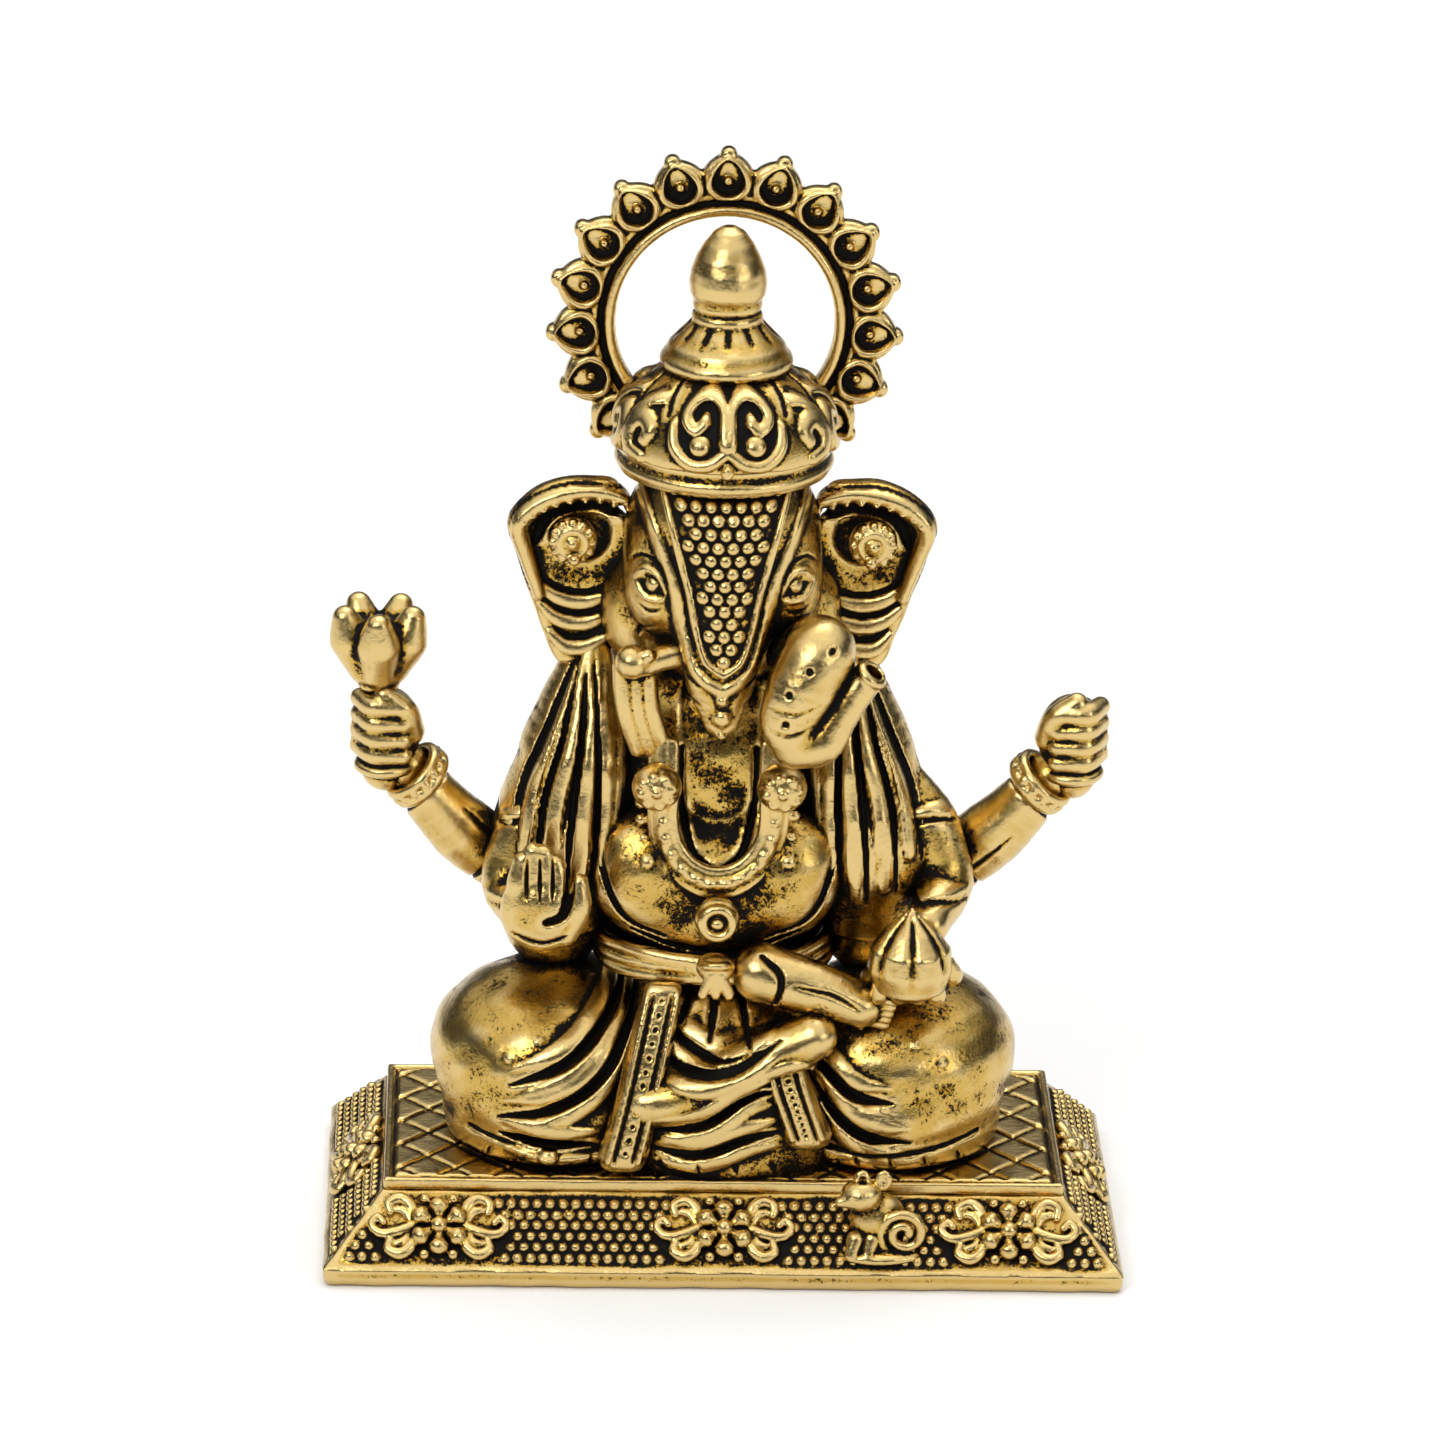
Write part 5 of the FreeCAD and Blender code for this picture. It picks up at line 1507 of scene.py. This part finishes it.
def make_slab():
    place, clay = block("seat_slab", 0.5, step=WIDE_STEP)
    clay.add(slab(place.low, place.high, 0.18))
    sheet = Relief(place.low[:2] - 1, place.high[:2] + 1, 0.08)
    wide, deep = place.half[0], place.half[1]
    pitch_x, pitch_y = 3.6, 3.9
    border = 1.0
    for number in range(-24, 25):
        for lean in BOTH:
            rows = (-deep + border, deep - border)
            ends = [np.array([number * pitch_x + lean * y * pitch_x / pitch_y, y]) for y in rows]
            run = ends[1] - ends[0]
            limit = wide - border
            shares = sorted(((-limit - ends[0][0]) / run[0], (limit - ends[0][0]) / run[0]))
            first, last = max(0.0, shares[0]), min(1.0, shares[1])
            if last - first > 0.02:
                start, end = ends[0] + run * first, ends[0] + run * last
                sheet.bar([start + place.mid[:2], end + place.mid[:2]], 0.34, -0.26)
    inset = border - 0.35
    corner = np.array([wide - inset, deep - inset])
    box = [corner * s + place.mid[:2] for s in ((-1, -1), (1, -1), (1, 1), (-1, 1), (-1, -1))]
    sheet.bar(box, 0.36, -0.28)
    x, y, z = clay.everywhere()
    clay.press(sheet.sample(x, y) * smooth(place.mid[2], place.mid[2] + 0.2, z), within=0.8)
    show("engraved_slab", clay, "seat_slab", cast=0.03, fine=1.2, grime=0.14)


def make_mouse():
    """The mouse, Ganesha's mount, with its round ears up and its tail in a spiral."""
    place, clay = block("mouse", (2.2, 1.2, 1.4), step=FINE_STEP)
    clay.add(egg(place.by(0.2, 0.1, -0.4), (1.9, 1.5, 1.9)))
    clay.add(egg(place.by(-1.0, -0.5, 1.6), (1.35, 1.1, 1.1)), 0.35)
    clay.run([place.by(-1.2, -0.9, 1.5), place.by(-2.4, -1.0, 1.3)], (0.8, 0.35), 0.2)
    for lean in (-0.9, 0.5):
        clay.add(egg(place.by(lean, -0.3, 2.6), (0.6, 0.3, 0.75)), 0.1)
        clay.cut(egg(place.by(lean, -0.65, 2.65), (0.32, 0.25, 0.42)), 0.06)
    turns = np.linspace(0, 3.6 * math.pi, 26)
    out = 0.35 + 0.13 * turns
    spiral = [
        place.by(1.9 + r * math.cos(t), -1.1, -0.9 + r * math.sin(t)) for r, t in zip(out, turns)
    ]
    clay.run(spiral, 0.34, 0.03, per=2)
    for across in (-1.3, -0.2):
        line = [place.by(across, -1.0, -1.4), place.by(across - 0.3, -1.5, -2.4)]
        clay.run(line, (0.6, 0.42), 0.1)
    clay.add(ball(place.by(-1.55, -1.35, 1.85), 0.24), 0.04)
    clay.add(egg(place.by(0.3, -0.6, -2.6), (2.9, 1.5, 0.6)), 0.2)
    show("mouse_mount", clay, "mouse", cast=0.03, grime=0.05)


make_thighs()
make_lap()
make_foot()
make_strips()
make_pedestal()
make_ornaments()
make_slab()
make_mouse()


# Floor, light and camera


def make_stage():
    mesh = bpy.data.meshes.new("floor")
    reach = 3.0
    corners = [(-reach, -reach, 0), (reach, -reach, 0), (reach, reach, 0), (-reach, reach, 0)]
    mesh.from_pydata(corners, [], [(0, 1, 2, 3)])
    mesh.materials.append(floor_white())
    floor = bpy.data.objects.new("floor", mesh)
    bpy.context.scene.collection.objects.link(floor)


LIGHT_AIM = Vector((0, 0, 0.035))
SKY_LOW, SKY_HIGH = (0.03, 0.03, 0.032), (1.0, 1.0, 1.0)
SOFTBOXES = (
    ("key", (-0.30, -0.45, 0.42), 0.22, 1.3),
    ("fill", (0.45, -0.40, 0.22), 0.20, 0.55),
    ("top", (0.05, 0.15, 0.6), 0.4, 1.0),
)


def make_light():
    """A sky that is bright above, and three square lights that face the idol."""
    studio = bpy.data.worlds.new("studio")
    graph = Graph(studio)
    way = graph.node("TexCoord").outputs["Generated"]
    up = graph.ramp(graph.node("SeparateXYZ", Vector=way).outputs["Z"], 0.25, 0.85)
    graph.join(graph.tree.nodes["Background"], Color=graph.mix(up, SKY_LOW, SKY_HIGH), Strength=1.2)
    bpy.context.scene.world = studio
    for name, place, size, power in SOFTBOXES:
        data = bpy.data.lights.new(name, "AREA")
        data.shape = "SQUARE"
        data.size = size
        data.energy = power
        lamp = bpy.data.objects.new(name, data)
        lamp.location = place
        lamp.rotation_euler = (LIGHT_AIM - Vector(place)).to_track_quat("-Z", "Y").to_euler()
        bpy.context.scene.collection.objects.link(lamp)


AZIMUTH, ELEVATION, ROLL = (math.radians(a) for a in (-1.92, 20.78, 1.34))
AIM_SHIFT, AIM_HEIGHT = -0.0005, 0.03536
DISTANCE = 0.5233
SENSOR, LENS = 36, 195.6


def make_camera():
    """A long lens, a little above the idol and turned slightly, as a product is photographed."""
    aim = Vector(((cad_box[0][0] + cad_box[1][0]) / 2 + AIM_SHIFT, 0, AIM_HEIGHT))
    level = math.cos(ELEVATION)
    back = Vector((math.sin(AZIMUTH) * level, -math.cos(AZIMUTH) * level, math.sin(ELEVATION)))
    side = Vector((0, 0, 1)).cross(back).normalized()
    top = back.cross(side)
    across = side * math.cos(ROLL) + top * math.sin(ROLL)
    upward = top * math.cos(ROLL) - side * math.sin(ROLL)
    data = bpy.data.cameras.new("camera")
    data.sensor_width = SENSOR
    data.lens = LENS
    data.clip_start = 0.01
    camera = bpy.data.objects.new("camera", data)
    turn = Matrix((across, upward, back)).transposed()
    camera.matrix_world = Matrix.Translation(aim + back * DISTANCE) @ turn.to_4x4()
    bpy.context.scene.collection.objects.link(camera)
    bpy.context.scene.camera = camera


lay_patina()
make_stage()
make_light()
make_camera()
bpy.context.scene.view_settings.view_transform = "Standard"
